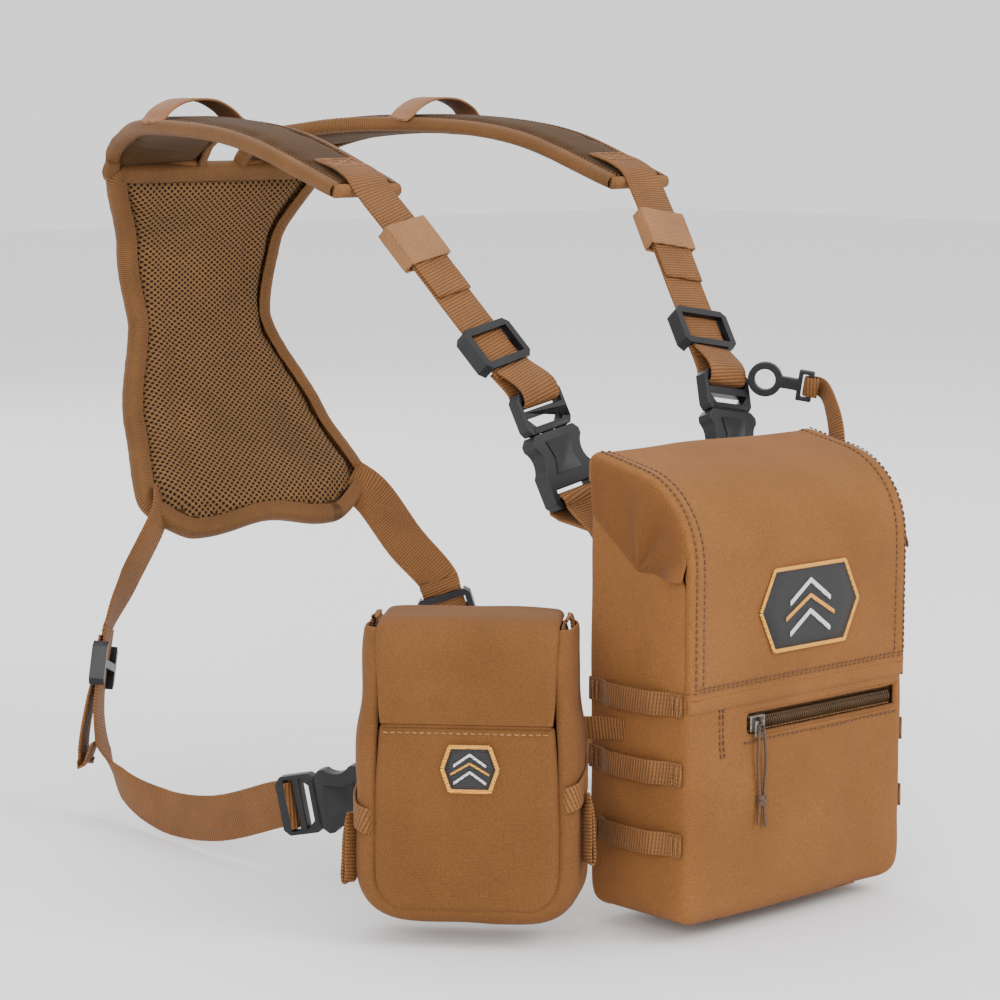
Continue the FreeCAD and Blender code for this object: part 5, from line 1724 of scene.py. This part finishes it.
@dataclass
class Yoke:
    """Padded back yoke: foam filled by simulation, mesh face, outer cloth and wide puckered binding."""

    route: tuple[Triple, ...] = (
        (0, 352, 147), (0, 360, 160), (0, 388, 200), (0, 412, 256), (0, 411, 302), (0, 393, 344))
    widths: tuple[float, ...] = (118.0, 150.0, 126.0, 84.0, 100.0, 138.0)
    foam: float = 8.6
    edge: float = 7.0

    def __post_init__(self) -> None:
        """Sample the yoke's middle line."""
        self.line = smooth_points([Vector(p) for p in self.route], 12)
        self.runs = _running(self.line)
        self.length = self.runs[-1]
        own = _running([Vector(p) for p in self.route])
        self.stops = [r / own[-1] for r in own]

    def middle(self, share: float) -> tuple[Vector, Vector]:
        """Place on the middle line and the way towards the wearer's back (+Y side).

        Args:
            share: 0 at the lower edge, 1 at the top.

        Returns:
            The place and the outward direction.
        """
        run = min(max(share, 0.0), 1.0) * self.length
        k = min(max(sum(1 for r in self.runs if r <= run) - 1, 0), len(self.line) - 2)
        a, b = self.line[k], self.line[k + 1]
        place = a.lerp(b, (run - self.runs[k]) / max(self.runs[k + 1] - self.runs[k], 1e-6))
        beyond = (share - min(max(share, 0.0), 1.0)) * self.length
        along = (self.line[min(k + 2, len(self.line) - 1)] - self.line[max(k - 1, 0)]).normalized()
        return place + along * beyond, Vector((0, along.z, -along.y))

    def half(self, share: float) -> float:
        """Half the width between the bindings at a share of the height."""
        share = min(max(share, 0.0), 1.0)
        value = self.widths[-1]
        for (a, b), (u, v) in zip(zip(self.widths, self.widths[1:]), zip(self.stops, self.stops[1:])):
            if share <= v:
                t = (share - u) / (v - u)
                t = t * t * (3 - 2 * t) * 0.55 + t * 0.45
                value = a + (b - a) * t
                break
        round_low = 9.0 * max(0.0, 1 - share / 0.06) ** 2
        return value / 2 - round_low

    def on(self, across: float, share: float, lift: float) -> Vector:
        """Point of the yoke: across is x, lift is towards the wearer's back."""
        dip = -4.0 * bump(share, 0, 0.05) * (0.5 - 0.5 * math.cos(math.pi * min(abs(across) / 45, 1))) * 1.4
        place, out = self.middle(share)
        return place + Vector((across, 0, dip)) + out * lift

    def build(self) -> None:
        """Make the yoke's pieces."""
        self._pad()
        self._binding()
        self._channels()

    def _pad(self) -> None:
        """Foam slab filled by simulation, then split into the mesh face and the outer cloth."""
        rows, columns = steps(-0.012, 1.01, 27), steps(-1, 1, 17)
        points = []
        for lift in (-1, 1):
            for share in rows:
                for u in columns:
                    half = self.half(share) + 3.6
                    inside = min((1 - abs(u)) * half / 11, (share + 0.012) * 13, (1.01 - share) * 13)
                    thin = 0.4 + 0.6 * min(1.0, inside)
                    points.append(SHOP.to_row(self.on(u * half, share, lift * self.foam / 2 * thin)))
        faces = slab_faces(len(columns), len(rows))
        pad = new_object("yoke_pad", points, faces)
        stuffed(pad, 4.5, 3.0, 2.0)
        self._sink_channels(pad)
        self._split(pad)

    def _sink_channels(self, pad: bpy.types.Object) -> None:
        """Press the two sewn channels into the filled pad."""
        for vertex in pad.data.vertices:
            x = (vertex.co.x) / MM
            share, out, lift = self._share_of(vertex.co)
            half = self.half(share)
            dip = bump(abs(x), half * 0.6, 2.6) * 1.9 + bump(abs(x), half * 0.98, 3.0) * 1.2
            swell = 0.9 * (1 - min(abs(x) / half, 1) ** 2)
            vertex.co -= out * ((dip - swell) * MM * (1 if lift > 0 else -1))

    def _share_of(self, place: Vector) -> tuple[float, Vector, float]:
        """Share of the height, outward way and lift of a point in the row frame."""
        point = Vector((0, (place.y - SHOP.back) / MM, (place.z - SHOP.bottom) / MM))
        k = min(range(len(self.line)), key=lambda i: (self.line[i] - point).length_squared)
        share = self.runs[k] / self.length
        middle, out = self.middle(share)
        return share, out, (point - middle).dot(out)

    def _split(self, pad: bpy.types.Object) -> None:
        """Cut the pad into the side that lies on the wearer and the outer side."""
        mapped = pad.data.uv_layers.new(name=CLOTH_MAP)
        places = {}
        for vertex in pad.data.vertices:
            share, _, _ = self._share_of(vertex.co)
            along = share * self.length * MM
            k = min(range(len(self.line)), key=lambda i: abs(self.runs[i] / self.length - share))
            ahead = (self.line[min(k + 1, len(self.line) - 1)] - self.line[max(k - 1, 0)]).normalized()
            offset = Vector((0, vertex.co.y - SHOP.back, vertex.co.z - SHOP.bottom)) - self.line[k] * MM
            places[vertex.index] = (vertex.co.x, along + offset.dot(ahead))
        for loop in pad.data.loops:
            mapped.data[loop.index].uv = places[loop.vertex_index]
        other = pad.copy()
        other.data = pad.data.copy()
        bpy.context.scene.collection.objects.link(other)
        for piece, keep_front, finish, nodes in (
            (pad, True, MESH_CLOTH, ("yoke_mesh", "yoke_foam")),
            (other, False, YOKE_CLOTH, ("yoke_shell",)),
        ):
            piece.name = "yoke_mesh_face" if keep_front else "yoke_outer_cloth"
            work = bmesh.new()
            work.from_mesh(piece.data)
            gone = []
            for face in work.faces:
                lift = self._share_of(face.calc_center_median())[2]
                if (lift < 0) != keep_front:
                    gone.append(face)
            bmesh.ops.delete(work, geom=gone, context="FACES")
            work.to_mesh(piece.data)
            work.free()
            finished(piece, finish, "harness", *nodes)

    def rim(self, inset: float, count: int = 60) -> list[Vector]:
        """Closed line round the yoke, a distance inside the binding's middle."""
        shares = steps(0.0, 1.0, count)
        right = [(self.half(s) - inset, s) for s in shares]
        line = [Vector((x, s, 0)) for x, s in right]
        high_reach, low_reach = (self.half(end) - inset - 6 for end in (1, 0))
        top = [Vector((x, 1.0, 0)) for x in steps(high_reach, -high_reach, 14)]
        left = [Vector((-x, s, 0)) for x, s in reversed(right)]
        low = [Vector((x, 0.0, 0)) for x in steps(-low_reach, low_reach, 16)]
        return line + top + left + low

    def _binding(self) -> None:
        """Wide edge tape folded over the foam, gathered where the edge curves."""
        ring = self.rim(-3.2)
        count = len(ring)
        shape = [(-4.6, 4.1), (-2.2, 4.9), (0.6, 4.9), (2.9, 4.2), (4.2, 2.4), (4.6, 0.0),
                 (4.2, -2.4), (2.9, -4.2), (0.6, -4.9), (-2.2, -4.9), (-4.6, -4.1)]
        points, places, faces = [], [], []
        run = 0.0
        spots = [self.on(p.x, p.y, 0) for p in ring]
        for k, spot in enumerate(spots):
            before, after = spots[k - 1], spots[(k + 1) % count]
            along = (after - before).normalized()
            lift = self.middle(ring[k].y)[1]
            outward = along.cross(lift).normalized()
            level = 0.5 if 0.05 < ring[k].y < 0.95 else ring[k].y * 0.9 + 0.05
            if outward.dot(spot - self.on(0, level, 0)) < 0:
                outward.negate()
            run += (spot - before).length if k else 0.0
            pucker = 0.55 * math.sin(run * 0.95) + 0.5 * noise.noise(Vector((run * 0.16, 3.0, 0)))
            for j, (w, d) in enumerate(shape):
                rough = pucker * (0.35 + 0.65 * abs(w) / 4.6)
                rise = d + math.copysign(rough * 0.45, d)
                points.append(SHOP.to_row(spot + outward * (w + rough * 0.5) + lift * rise))
                places.append((j * 1.7 * MM, run * MM))
        sides = len(shape)
        for k in range(count):
            for j in range(sides - 1):
                n = (k + 1) % count
                faces.append((k * sides + j, k * sides + j + 1, n * sides + j + 1, n * sides + j))
        made = new_object("yoke_edge_tape", points, faces, places)
        thick = made.modifiers.new("thickness", "SOLIDIFY")
        thick.thickness, thick.offset = 0.9 * MM, -1.0
        round_off(made, 2)
        finished(made, BINDING, "harness", "yoke_binding")
        sewing = Sewing("yoke_edge_sewing", 2.8, 2.0, 0.38)
        for lift in (-1, 1):
            line = [self.on(p.x, p.y, lift * 5.0) for p in self.rim(0.6)]
            sewing.run(line + [line[0]], [self.middle(0.5)[1] * lift] * (len(line) + 1))
        finished(sewing.make(), SEWING, "harness")

    def _channels(self) -> None:
        """Stitches in the two long channels of the mesh face."""
        sewing = Sewing("yoke_channel_sewing", 2.6, 1.9, 0.34)
        for turn in (-1, 1):
            spots = [(turn * self.half(s) * 0.6, s) for s in steps(0.04, 0.96, 50)]
            line = [self.on(x, s, -self.foam / 2 - 0.2) for x, s in spots]
            sewing.run(line, [-self.middle(s)[1] for _, s in spots])
        finished(sewing.make(), SEWING, "harness")


# ------------------------------------------------------------------ shoulders and straps


@dataclass
class BuckleSeat:
    """Where a shut side-release buckle lies: its socket's tail, its plug's top and its width."""

    tail: Vector
    top: Vector
    across: Vector
    socket_bar: float = -23.5
    plug_slot: float = 23.0

    def __post_init__(self) -> None:
        """Work out the buckle's own directions."""
        self.along = (self.top - self.tail).normalized()
        self.sideways = (self.across - self.along * self.across.dot(self.along)).normalized()
        self.through = self.sideways.cross(self.along)
        self.middle = (self.tail + self.top) / 2

    def spot(self, x: float, y: float, z: float) -> Vector:
        """Point of the buckle's own frame."""
        return self.middle + self.sideways * x + self.along * y + self.through * z

    def round_bar(self) -> list[Vector]:
        """Webbing's turn round the socket's bar, from its upper side to its lower one."""
        bar = self.socket_bar
        turn = ((6.4, bar - 7.8), (5.7, bar - 2.2), (3.0, bar),
                (-3.0, bar), (-5.7, bar - 2.2), (-6.4, bar - 7.8))
        return [self.spot(0, y, z) for z, y in turn]


@dataclass
class Shoulder:
    """One shoulder: pad, keeper loop, strap, elastic keeper, slide and upper buckle."""

    side: Side
    strap_top: Triple = (88, 114, 315)
    strap_way: Triple = (-22, -65, -76)
    pad_route: tuple[Triple, ...] = (
        (45, 393.5, 345.5), (47, 383, 357.5), (60, 352, 367),
        (86, 300, 371), (95, 220, 365), (96, 142, 341))
    pad_widths: tuple[float, ...] = (66.0, 66.0, 62.0, 54.0, 48.0, 42.0)
    pad_thick: float = 9.0

    def at(self, point: Sequence[float]) -> Vector:
        """A point given for the wearer's left, on this side."""
        return Vector((self.side.value * point[0], point[1], point[2]))

    def on_strap(self, distance: float) -> Vector:
        """Point on the strap's straight run."""
        return self.at(Vector(self.strap_top) + Vector(self.strap_way).normalized() * distance)

    def seat(self) -> BuckleSeat:
        """The upper buckle's place."""
        return BuckleSeat(self.at((56.5, 30, 190)), self.at((67, 51, 246)), Vector((1, 0, 0)))

    def build(self) -> None:
        """Make the shoulder's pieces."""
        self._pad()
        self._keeper()
        self._strap()
        self._elastic()
        self._tab()
        word = self.side.word
        moulding(f"triglide_{word}", f"strap_slide_{word}", ACETAL, f"triglide_{word}", 0.7)
        dress_buckle(self.seat(), word, "shoulder", f"socket_{word}", "harness")

    def _frames(self, count: int) -> list[tuple[Vector, Vector, Vector, float]]:
        """Places along the pad: middle, sideways, up and half width."""
        own = [self.at(p) for p in self.pad_route]
        line = smooth_points(own, count)
        widths = smooth_points([Vector((w, k, 0)) for k, w in enumerate(self.pad_widths)], count)
        found = []
        for k, place in enumerate(line):
            along = (line[min(k + 1, len(line) - 1)] - line[max(k - 1, 0)]).normalized()
            side = (Vector((1, 0, 0)) - along * along.x).normalized()
            up = side.cross(along)
            up = up if up.z > 0 else -up
            found.append((place, side, up, widths[k].x / 2))
        return found

    def _pad(self) -> None:
        """Shoulder pad filled by simulation, with its bound edge and stitches."""
        word = self.side.word
        frames = self._frames(7)
        columns = steps(-1, 1, 10)
        points = []
        for lift in (-1, 1):
            for k, (place, side, up, half) in enumerate(frames):
                ends = min(k, len(frames) - 1 - k) / 3
                for u in columns:
                    edge = (1 - abs(u)) * half
                    thin = 0.3 + 0.7 * min(1.0, edge / 7, ends + 0.35)
                    rise = lift * self.pad_thick * 0.4 * thin
                    points.append(SHOP.to_row(place + side * (u * (half - 1.5)) + up * rise))
        faces = slab_faces(len(columns), len(frames))
        pad = new_object(f"shoulder_cushion_{word}", points, faces)
        stuffed(pad, 4.5, 3.0, 2.0)
        finished(pad, YOKE_CLOTH, "harness", f"shoulder_pad_{word}")
        self._bound_edges(frames)

    def _bound_edges(self, frames: Sequence[tuple[Vector, Vector, Vector, float]]) -> None:
        """Grosgrain folded over both long edges of the pad."""
        word = self.side.word
        parts = []
        sewing = Sewing(f"shoulder_sewing_{word}", 2.8, 2.0, 0.36)
        for turn in (-1, 1):
            ring = [(-4.2, 3.3), (-1.5, 3.7), (1.2, 3.3), (2.7, 1.7), (3.1, 0),
                    (2.7, -1.7), (1.2, -3.3), (-1.5, -3.7), (-4.2, -3.3)]
            points, places, faces = [], [], []
            run = 0.0
            for k, (place, side, up, half) in enumerate(frames):
                run += (place - frames[k - 1][0]).length if k else 0.0
                pucker = 0.5 * math.sin(run * 0.8 + turn) + 0.4 * noise.noise(Vector((run * 0.15, turn, 0)))
                for j, (w, d) in enumerate(ring):
                    reach = turn * (half - 1.6 + w + pucker * 0.5)
                    rise = d + math.copysign(pucker * 0.3, d)
                    points.append(SHOP.to_row(place + side * reach + up * rise))
                    places.append((j * 1.8 * MM, run * MM))
            sides = len(ring)
            for k in range(len(frames) - 1):
                here, ahead = k * sides, (k + 1) * sides
                for j in range(sides - 1):
                    faces.append((here + j, here + j + 1, ahead + j + 1, ahead + j))
            made = new_object("tape", points, faces, places)
            thick = made.modifiers.new("thickness", "SOLIDIFY")
            thick.thickness, thick.offset = 0.8 * MM, 0.0
            round_off(made, 1)
            parts.append(made)
            for lift in (-1, 1):
                line = [p + s * (turn * (h - 5.0)) + u * (lift * 4.1) for p, s, u, h in frames[1:]]
                sewing.run(line, [u * lift for _, _, u, _ in frames[1:]])
        for place, side, _, half in (frames[-1], frames[0]):
            parts.append(rod("end", [place + side * x for x in steps(-half + 0.5, half - 0.5, 8)], 3.5, 10))
        finished(joined(f"shoulder_tape_{word}", parts), BINDING, "harness")
        finished(sewing.make(), SEWING, "harness")

    def _keeper(self) -> None:
        """Arched tan loop over the pad."""
        arch = [(57, 299, 373.4), (61, 299, 375.6), (66, 299, 379.6), (76, 299, 384.4), (87, 299, 385.6),
                (98, 299, 384.4), (108, 299, 379.6), (112, 299, 375.6), (115.5, 299, 373.4)]
        line = [tuple(self.at(p)) for p in arch]
        loop = Strap(f"keeper_arch_{self.side.word}", line, (0, 1, 0), 20, 1.5, 5, 3, 0.1)
        nodes = ("keeper_loops",) if self.side is Side.RIGHT else ()
        finished(loop.make(), KEEPER, "harness", *nodes)

    def _strap(self) -> None:
        """Webbing from the pad's end through the keeper and slide, round the plug's bar."""
        word = self.side.word
        parts = []
        sewn, top = self.at((96, 168, 355.9)), self.at((96, 152, 351.7))
        line = [sewn, top, self.at((95.8, 142.5, 347.0)), self.at((95.4, 137, 341.0)), self.on_strap(-14),
                self.on_strap(20), self.on_strap(50), self.on_strap(84)]
        across = (1, 0, 0)
        parts.append(Strap("upper", [tuple(p) for p in line], across, 25, 1.6, 5).make())
        seat = self.seat()
        slot = seat.plug_slot
        turn = [(4.9, 31.4), (4.6, slot + 1.6), (2.6, slot), (-2.6, slot), (-4.6, slot + 1.6), (-4.9, 31.4)]
        normal = Vector(self.strap_way).normalized().cross(Vector((1, 0, 0)))
        normal = Vector((normal.x * self.side.value, normal.y, normal.z))
        join = self.on_strap(78.5)
        loop = [join + normal * 1.7] + [seat.spot(0, y, z) for z, y in turn] + [join - normal * 1.7]
        tilts = [tuple(seat.sideways)] * len(loop)
        parts.append(Strap("fold", [tuple(p) for p in loop], tilts, 24.4, 1.6, 4).make())
        tail = [self.on_strap(-6), self.on_strap(8), self.on_strap(20), self.on_strap(33)]
        lifted = [p + normal * s for p, s in zip(tail, (1.7, 1.75, 1.8, 1.8))]
        parts.append(Strap("tail", [tuple(p) for p in lifted], across, 24.6, 1.5, 5).make())
        finished(joined(f"shoulder_strap_{word}", parts), WEBBING, "harness", f"shoulder_webbing_{word}")
        sewing = Sewing(f"shoulder_tack_{word}", 1.7, 1.5, 0.36)
        way = (top - sewn).normalized()
        up = Vector((1, 0, 0)).cross(way)
        up = up if up.z > 0 else -up
        centre = (sewn + top) / 2 + up * 1.1
        sewing.box(centre, way, Vector((1, 0, 0)) if up.cross(way).x < 0 else Vector((-1, 0, 0)), 12, 20)
        finished(sewing.make(), PALE_SEWING, "harness")

    def _elastic(self) -> None:
        """Flat elastic sleeve."""
        word = self.side.word
        down = self.at(Vector(self.strap_way).normalized())
        side = (Vector((1, 0, 0)) - down * down.x).normalized()
        out = side.cross(down)
        parts = []
        for sign in (-1, 1):
            profile = ((-12, 3.5), (-10, 3.7), (-4, 3.8), (4, 3.8), (10, 3.7), (12, 3.5))
            line = [self.on_strap(d) + out * sign * h for d, h in profile]
            parts.append(Strap("face", [tuple(p) for p in line], tuple(side), 29, 1.2, 4, 3, 0.1).make())
            edge = [self.on_strap(d) + side * sign * 14.2 for d in (-11.6, -5, 5, 11.6)]
            parts.append(Strap("edge", [tuple(p) for p in edge], tuple(out), 7.6, 1.0, 4, 1, 0.05).make())
        sleeve = joined(f"elastic_sleeve_{word}", parts)
        finished(sleeve, ELASTIC, f"keeper_{word}", f"elastic_keeper_{word}")

    def _tab(self) -> None:
        """Tab from the pack's back wall round the socket's bar."""
        word = self.side.word
        seat = self.seat()
        turn = seat.round_bar()
        sewn = self.at((58, 1.0, 176))
        line = [sewn + Vector((0, 0, -12)), sewn + Vector((0, 0, 2))]
        line += turn[::-1]
        line += [sewn + Vector((0, 1.8, 0)), sewn + Vector((0, 1.8, -12))]
        tilts = [(1, 0, 0)] * 2 + [tuple(seat.sideways)] * len(turn) + [(1, 0, 0)] * 2
        tab = Strap(f"upper_loop_{word}", [tuple(p) for p in line], tilts, 24.4, 1.6, 4, 3, 0.05).make()
        finished(tab, WEBBING, (), f"upper_tab_{word}")
        start = SHOP.to_row(sewn + Vector((0, 0, 2)))
        end = SHOP.to_row(seat.spot(0, seat.socket_bar - 3, 0))
        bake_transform(tab)
        sewing = Sewing(f"upper_loop_sewing_{word}", 1.6, 1.4, 0.34)
        sewing.box(sewn + Vector((0, 3.2, -6)), Vector((0, 0, 1)), Vector((1, 0, 0)), 9, 20)
        finished(sewing.make(), PALE_SEWING, "harness")


def dress_buckle(seat: BuckleSeat, word: str, where: str, socket_body: str, plug_body: str) -> None:
    """Socket and plug of one buckle, with the raised fields and grip ribs of a moulded one.

    Args:
        seat: Where the shut buckle lies.
        word: Which side.
        where: First word of its CAD nodes.
        socket_body: Body that the socket rides on.
        plug_body: Body that the plug rides on.
    """
    moulding(f"{where}_socket_{word}", f"{where}_buckle_socket_{word}", ACETAL, socket_body, 0.8)
    moulding(f"{where}_plug_{word}", f"{where}_buckle_plug_{word}", ACETAL, plug_body, 0.7)
    fields, ribs = [], []
    for face in (-1, 1):
        for corners, height, kept in (
            (((-8.5, -13), (8.5, -13), (6.2, -5), (8.5, 4.5), (-8.5, 4.5), (-6.2, -5)), 4.5, fields),
            (((-12, 9.6), (12, 9.6), (12, 11.6), (-12, 11.6)), 3.5, ribs),
        ):
            low = [seat.spot(x, y, face * (height - 0.4)) for x, y in corners]
            high = [seat.spot(x * 0.93, y * 0.93 + 0.07 * corners[0][1], face * (height + 0.55))
                    for x, y in corners]
            count = len(corners)
            faces = [tuple(range(count)), tuple(range(count, 2 * count))[::-1]]
            faces += [(k, (k + 1) % count, count + (k + 1) % count, count + k) for k in range(count)]
            made = new_object("raised", [SHOP.to_row(p) for p in low + high], faces)
            bevel = made.modifiers.new("edges", "BEVEL")
            bevel.width, bevel.segments = 0.35 * MM, 2
            kept.append(made)
    finished(joined(f"{where}_socket_field_{word}", fields), ACETAL, socket_body)
    finished(joined(f"{where}_plug_rib_{word}", ribs), ACETAL, plug_body)


@dataclass
class SideStrap:
    """One side strap: yoke corner, slide, hanging loop, lower buckle and the tab on the pack."""

    side: Side

    def at(self, x: float, y: float, z: float) -> Vector:
        """A point given for the wearer's left, on this side."""
        return Vector((self.side.value * x, y, z))

    def seat(self) -> BuckleSeat:
        """The lower buckle's place."""
        return BuckleSeat(self.at(104, 116, 38.5), self.at(134, 167, 27), Vector((0, 0, 1)))

    def build(self) -> list[bpy.types.Object]:
        """Make the strap's pieces.

        Returns:
            The tab on the pack, still to be joined with the other side's.
        """
        word, s = self.side.word, self.side.value
        corner, knee = self.at(77.5, 349.5, 151), self.at(102, 345, 119)
        bend, foot = self.at(121, 338, 96), self.at(132, 332, 56)
        tilt_top, tilt_low = Vector((s * 0.62, -0.45, 0.62)), Vector((s * 0.72, -0.69, 0))
        inner, fall = self.at(69, 359, 160), (foot - bend).normalized()
        upper = Strap("upper", [tuple(p) for p in (inner, corner, knee, bend, bend + fall * 6)],
                      [tuple(tilt_top)] * 3 + [tuple(tilt_low)] * 2, 25, 1.6, 6)
        finished(upper.make(), WEBBING, "harness", f"lower_strap_{word}").name = f"side_strap_{word}"
        seat = self.seat()
        slot = seat.plug_slot
        turn = [(6.5, 34), (5.3, 30), (4.8, slot + 1.8), (2.6, slot), (-2.6, slot), (-4.6, slot + 1.8)]
        plug_end = [seat.spot(0, y, s * z) for z, y in turn]
        line = [bend + fall * 1.0 - Vector((s * 0.5, 0.6, 0)) * 1.2, foot, self.at(134, 326, 32),
                self.at(134, 308, 14), self.at(134, 270, 6), self.at(135, 220, 11)]
        tilts = [tilt_low] * 3 + [Vector((s * 0.3, -0.5, 0.8))] + [Vector((0, 0, 1))] * 2
        tilts += [seat.sideways] * len(turn)
        route = [tuple(p) for p in line + plug_end]
        parts = [Strap("run", route, [tuple(t) for t in tilts], 24.4, 1.6, 6).make()]
        away = Vector((s * 0.69, 0.72, 0))
        tail = [bend + fall * 6 + away * 1.9, bend + fall * 22 + away * 2.4, foot + away * 5.0 + fall * 2,
                foot + away * 5.5 + fall * 26, foot + away * 3.2 + fall * 34,
                foot + away * 1.5 + fall * 22 - Vector((0, 3, 0))]
        parts.append(Strap("tail", [tuple(p) for p in tail], tuple(tilt_low), 24.0, 1.5, 6).make())
        loop = joined(f"side_loop_{word}", parts)
        finished(loop, WEBBING, (), f"lower_loop_{word}")
        start, end = SHOP.to_row(self.at(134, 322, 26)), SHOP.to_row(self.at(135, 200, 14))
        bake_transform(loop)
        moulding(f"lower_slider_{word}", f"side_slide_{word}", ACETAL, f"slider_{word}", 0.7)
        dress_buckle(seat, word, "lower", "harness", f"plug_{word}")
        return [self._tab(seat)]

    def _tab(self, seat: BuckleSeat) -> bpy.types.Object:
        """Webbing from the back wall to the socket's bar."""
        spots = seat.round_bar()
        sewn = [self.at(52, 1.0, 38), self.at(70, 1.0, 38), self.at(84, 14, 38)]
        if (spots[0] - sewn[-1]).length > (spots[-1] - sewn[-1]).length:
            spots.reverse()
        tilts = [(0, 0, 1)] * 3 + [tuple(seat.sideways)] * 5
        return Strap("tab", [tuple(p) for p in sewn + spots[:5]], tilts, 24.4, 1.6, 5).make()


@dataclass
class Tether:
    """Thin strap from the pack's shoulder corner to a ring hook."""

    def build(self) -> None:
        """Make the hook and the strap."""
        moulding("tether_hook", "ring_hook", ACETAL, "harness", 0.9)
        seat_along = Vector((-0.6, 0.78, 0.15)).normalized()
        across = Vector((0, 0.1, -1))
        across = (across - seat_along * across.dot(seat_along)).normalized()
        through = across.cross(seat_along)
        centre = Vector((84.5, 36, 242))
        turn = ((-3.6, -28), (-3.6, -22.7), (-1.6, -20.9), (1.6, -20.9), (3.6, -22.7), (3.6, -29))
        hitch = [centre + seat_along * y + through * z for z, y in turn]
        route = ((98, 2, 229), (90, -9, 214), (83, -13, 196),
                 (80.6, -13, 178), (79.2, -13, 160), (78.6, -13, 142))
        line = hitch + [Vector(p) for p in route]
        tilts = [tuple(across)] * len(hitch) + [(-0.1, 0.6, -0.8)] + [(0, 1, 0)] * 5
        strap = Strap("tether_webbing", [tuple(p) for p in line], tilts, 10, 1.3, 5, 2, 0.2)
        finished(strap.make(), WEBBING, "harness", "tether_strap")


# ------------------------------------------------------------------ studio


@dataclass(frozen=True)
class Studio:
    """Pale sweep, soft lights and the camera."""

    eye: Triple = (-1.0602, -1.0273, 0.3059)
    tilt: float = 82.1
    turn: float = -42.2
    lens: float = 108.0

    def camera(self) -> None:
        """Set the camera at the viewing angle."""
        data = bpy.data.cameras.new("view")
        data.lens, data.sensor_width = self.lens, 36.0
        made = bpy.data.objects.new("view", data)
        made.location = self.eye
        made.rotation_euler = (math.radians(self.tilt), 0.0, math.radians(self.turn))
        bpy.context.scene.collection.objects.link(made)
        bpy.context.scene.camera = made

    def floor(self) -> None:
        """Pale floor just under the pack."""
        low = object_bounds()[0].z - FLOOR_DROP * MM
        reach = 6.0
        around = ((-1, -1), (1, -1), (1, 1), (-1, 1))
        corners = [Vector((x * reach, y * reach, low)) for x, y in around]
        made = new_object("floor", corners, [(0, 1, 2, 3)])
        made.data.materials.append(SWEEP.material())
        made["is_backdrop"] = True

    def lights(self) -> None:
        """Large soft key from the front, fill from the side, rim from behind, white surround."""
        target = Vector((0, 0.1, 0.05))
        for name, place, size, power in (
            ("key", (0.75, -1.9, 1.7), 1.5, 38.0),
            ("fill", (-2.1, -1.2, 0.9), 1.6, 34.0),
            ("top", (0.0, 0.3, 2.2), 1.8, 14.0),
            ("rim", (0.6, 2.1, 1.2), 1.4, 12.0),
        ):
            light = bpy.data.lights.new(name, "AREA")
            light.shape, light.size, light.energy = "DISK", size, power
            made = bpy.data.objects.new(name, light)
            made.location = place
            made.rotation_mode = "QUATERNION"
            made.rotation_quaternion = (target - Vector(place)).to_track_quat("-Z", "Y")
            bpy.context.scene.collection.objects.link(made)
        world = bpy.data.worlds.new("surround")
        world.use_nodes = True
        shade = next(n for n in world.node_tree.nodes if n.type == "BACKGROUND")
        shade.inputs["Color"].default_value = (1, 1, 1, 1)
        shade.inputs["Strength"].default_value = 1.3
        bpy.context.scene.world = world


def main() -> None:
    """Build every sub-assembly in order."""
    logging.basicConfig(level=logging.INFO, format="%(name)s: %(message)s")
    studio = Studio()
    studio.camera()
    PocketZip().build()
    PackShell().build()
    Lid().build()
    RangefinderPouch().build()
    Yoke().build()
    tabs: list[bpy.types.Object] = []
    for side in Side:
        Shoulder(side).build()
        tabs += SideStrap(side).build()
    finished(joined("pack_tabs", tabs), WEBBING, "harness", "lower_tabs")
    Tether().build()
    studio.lights()
    studio.floor()


if __name__ == "__main__":
    main()
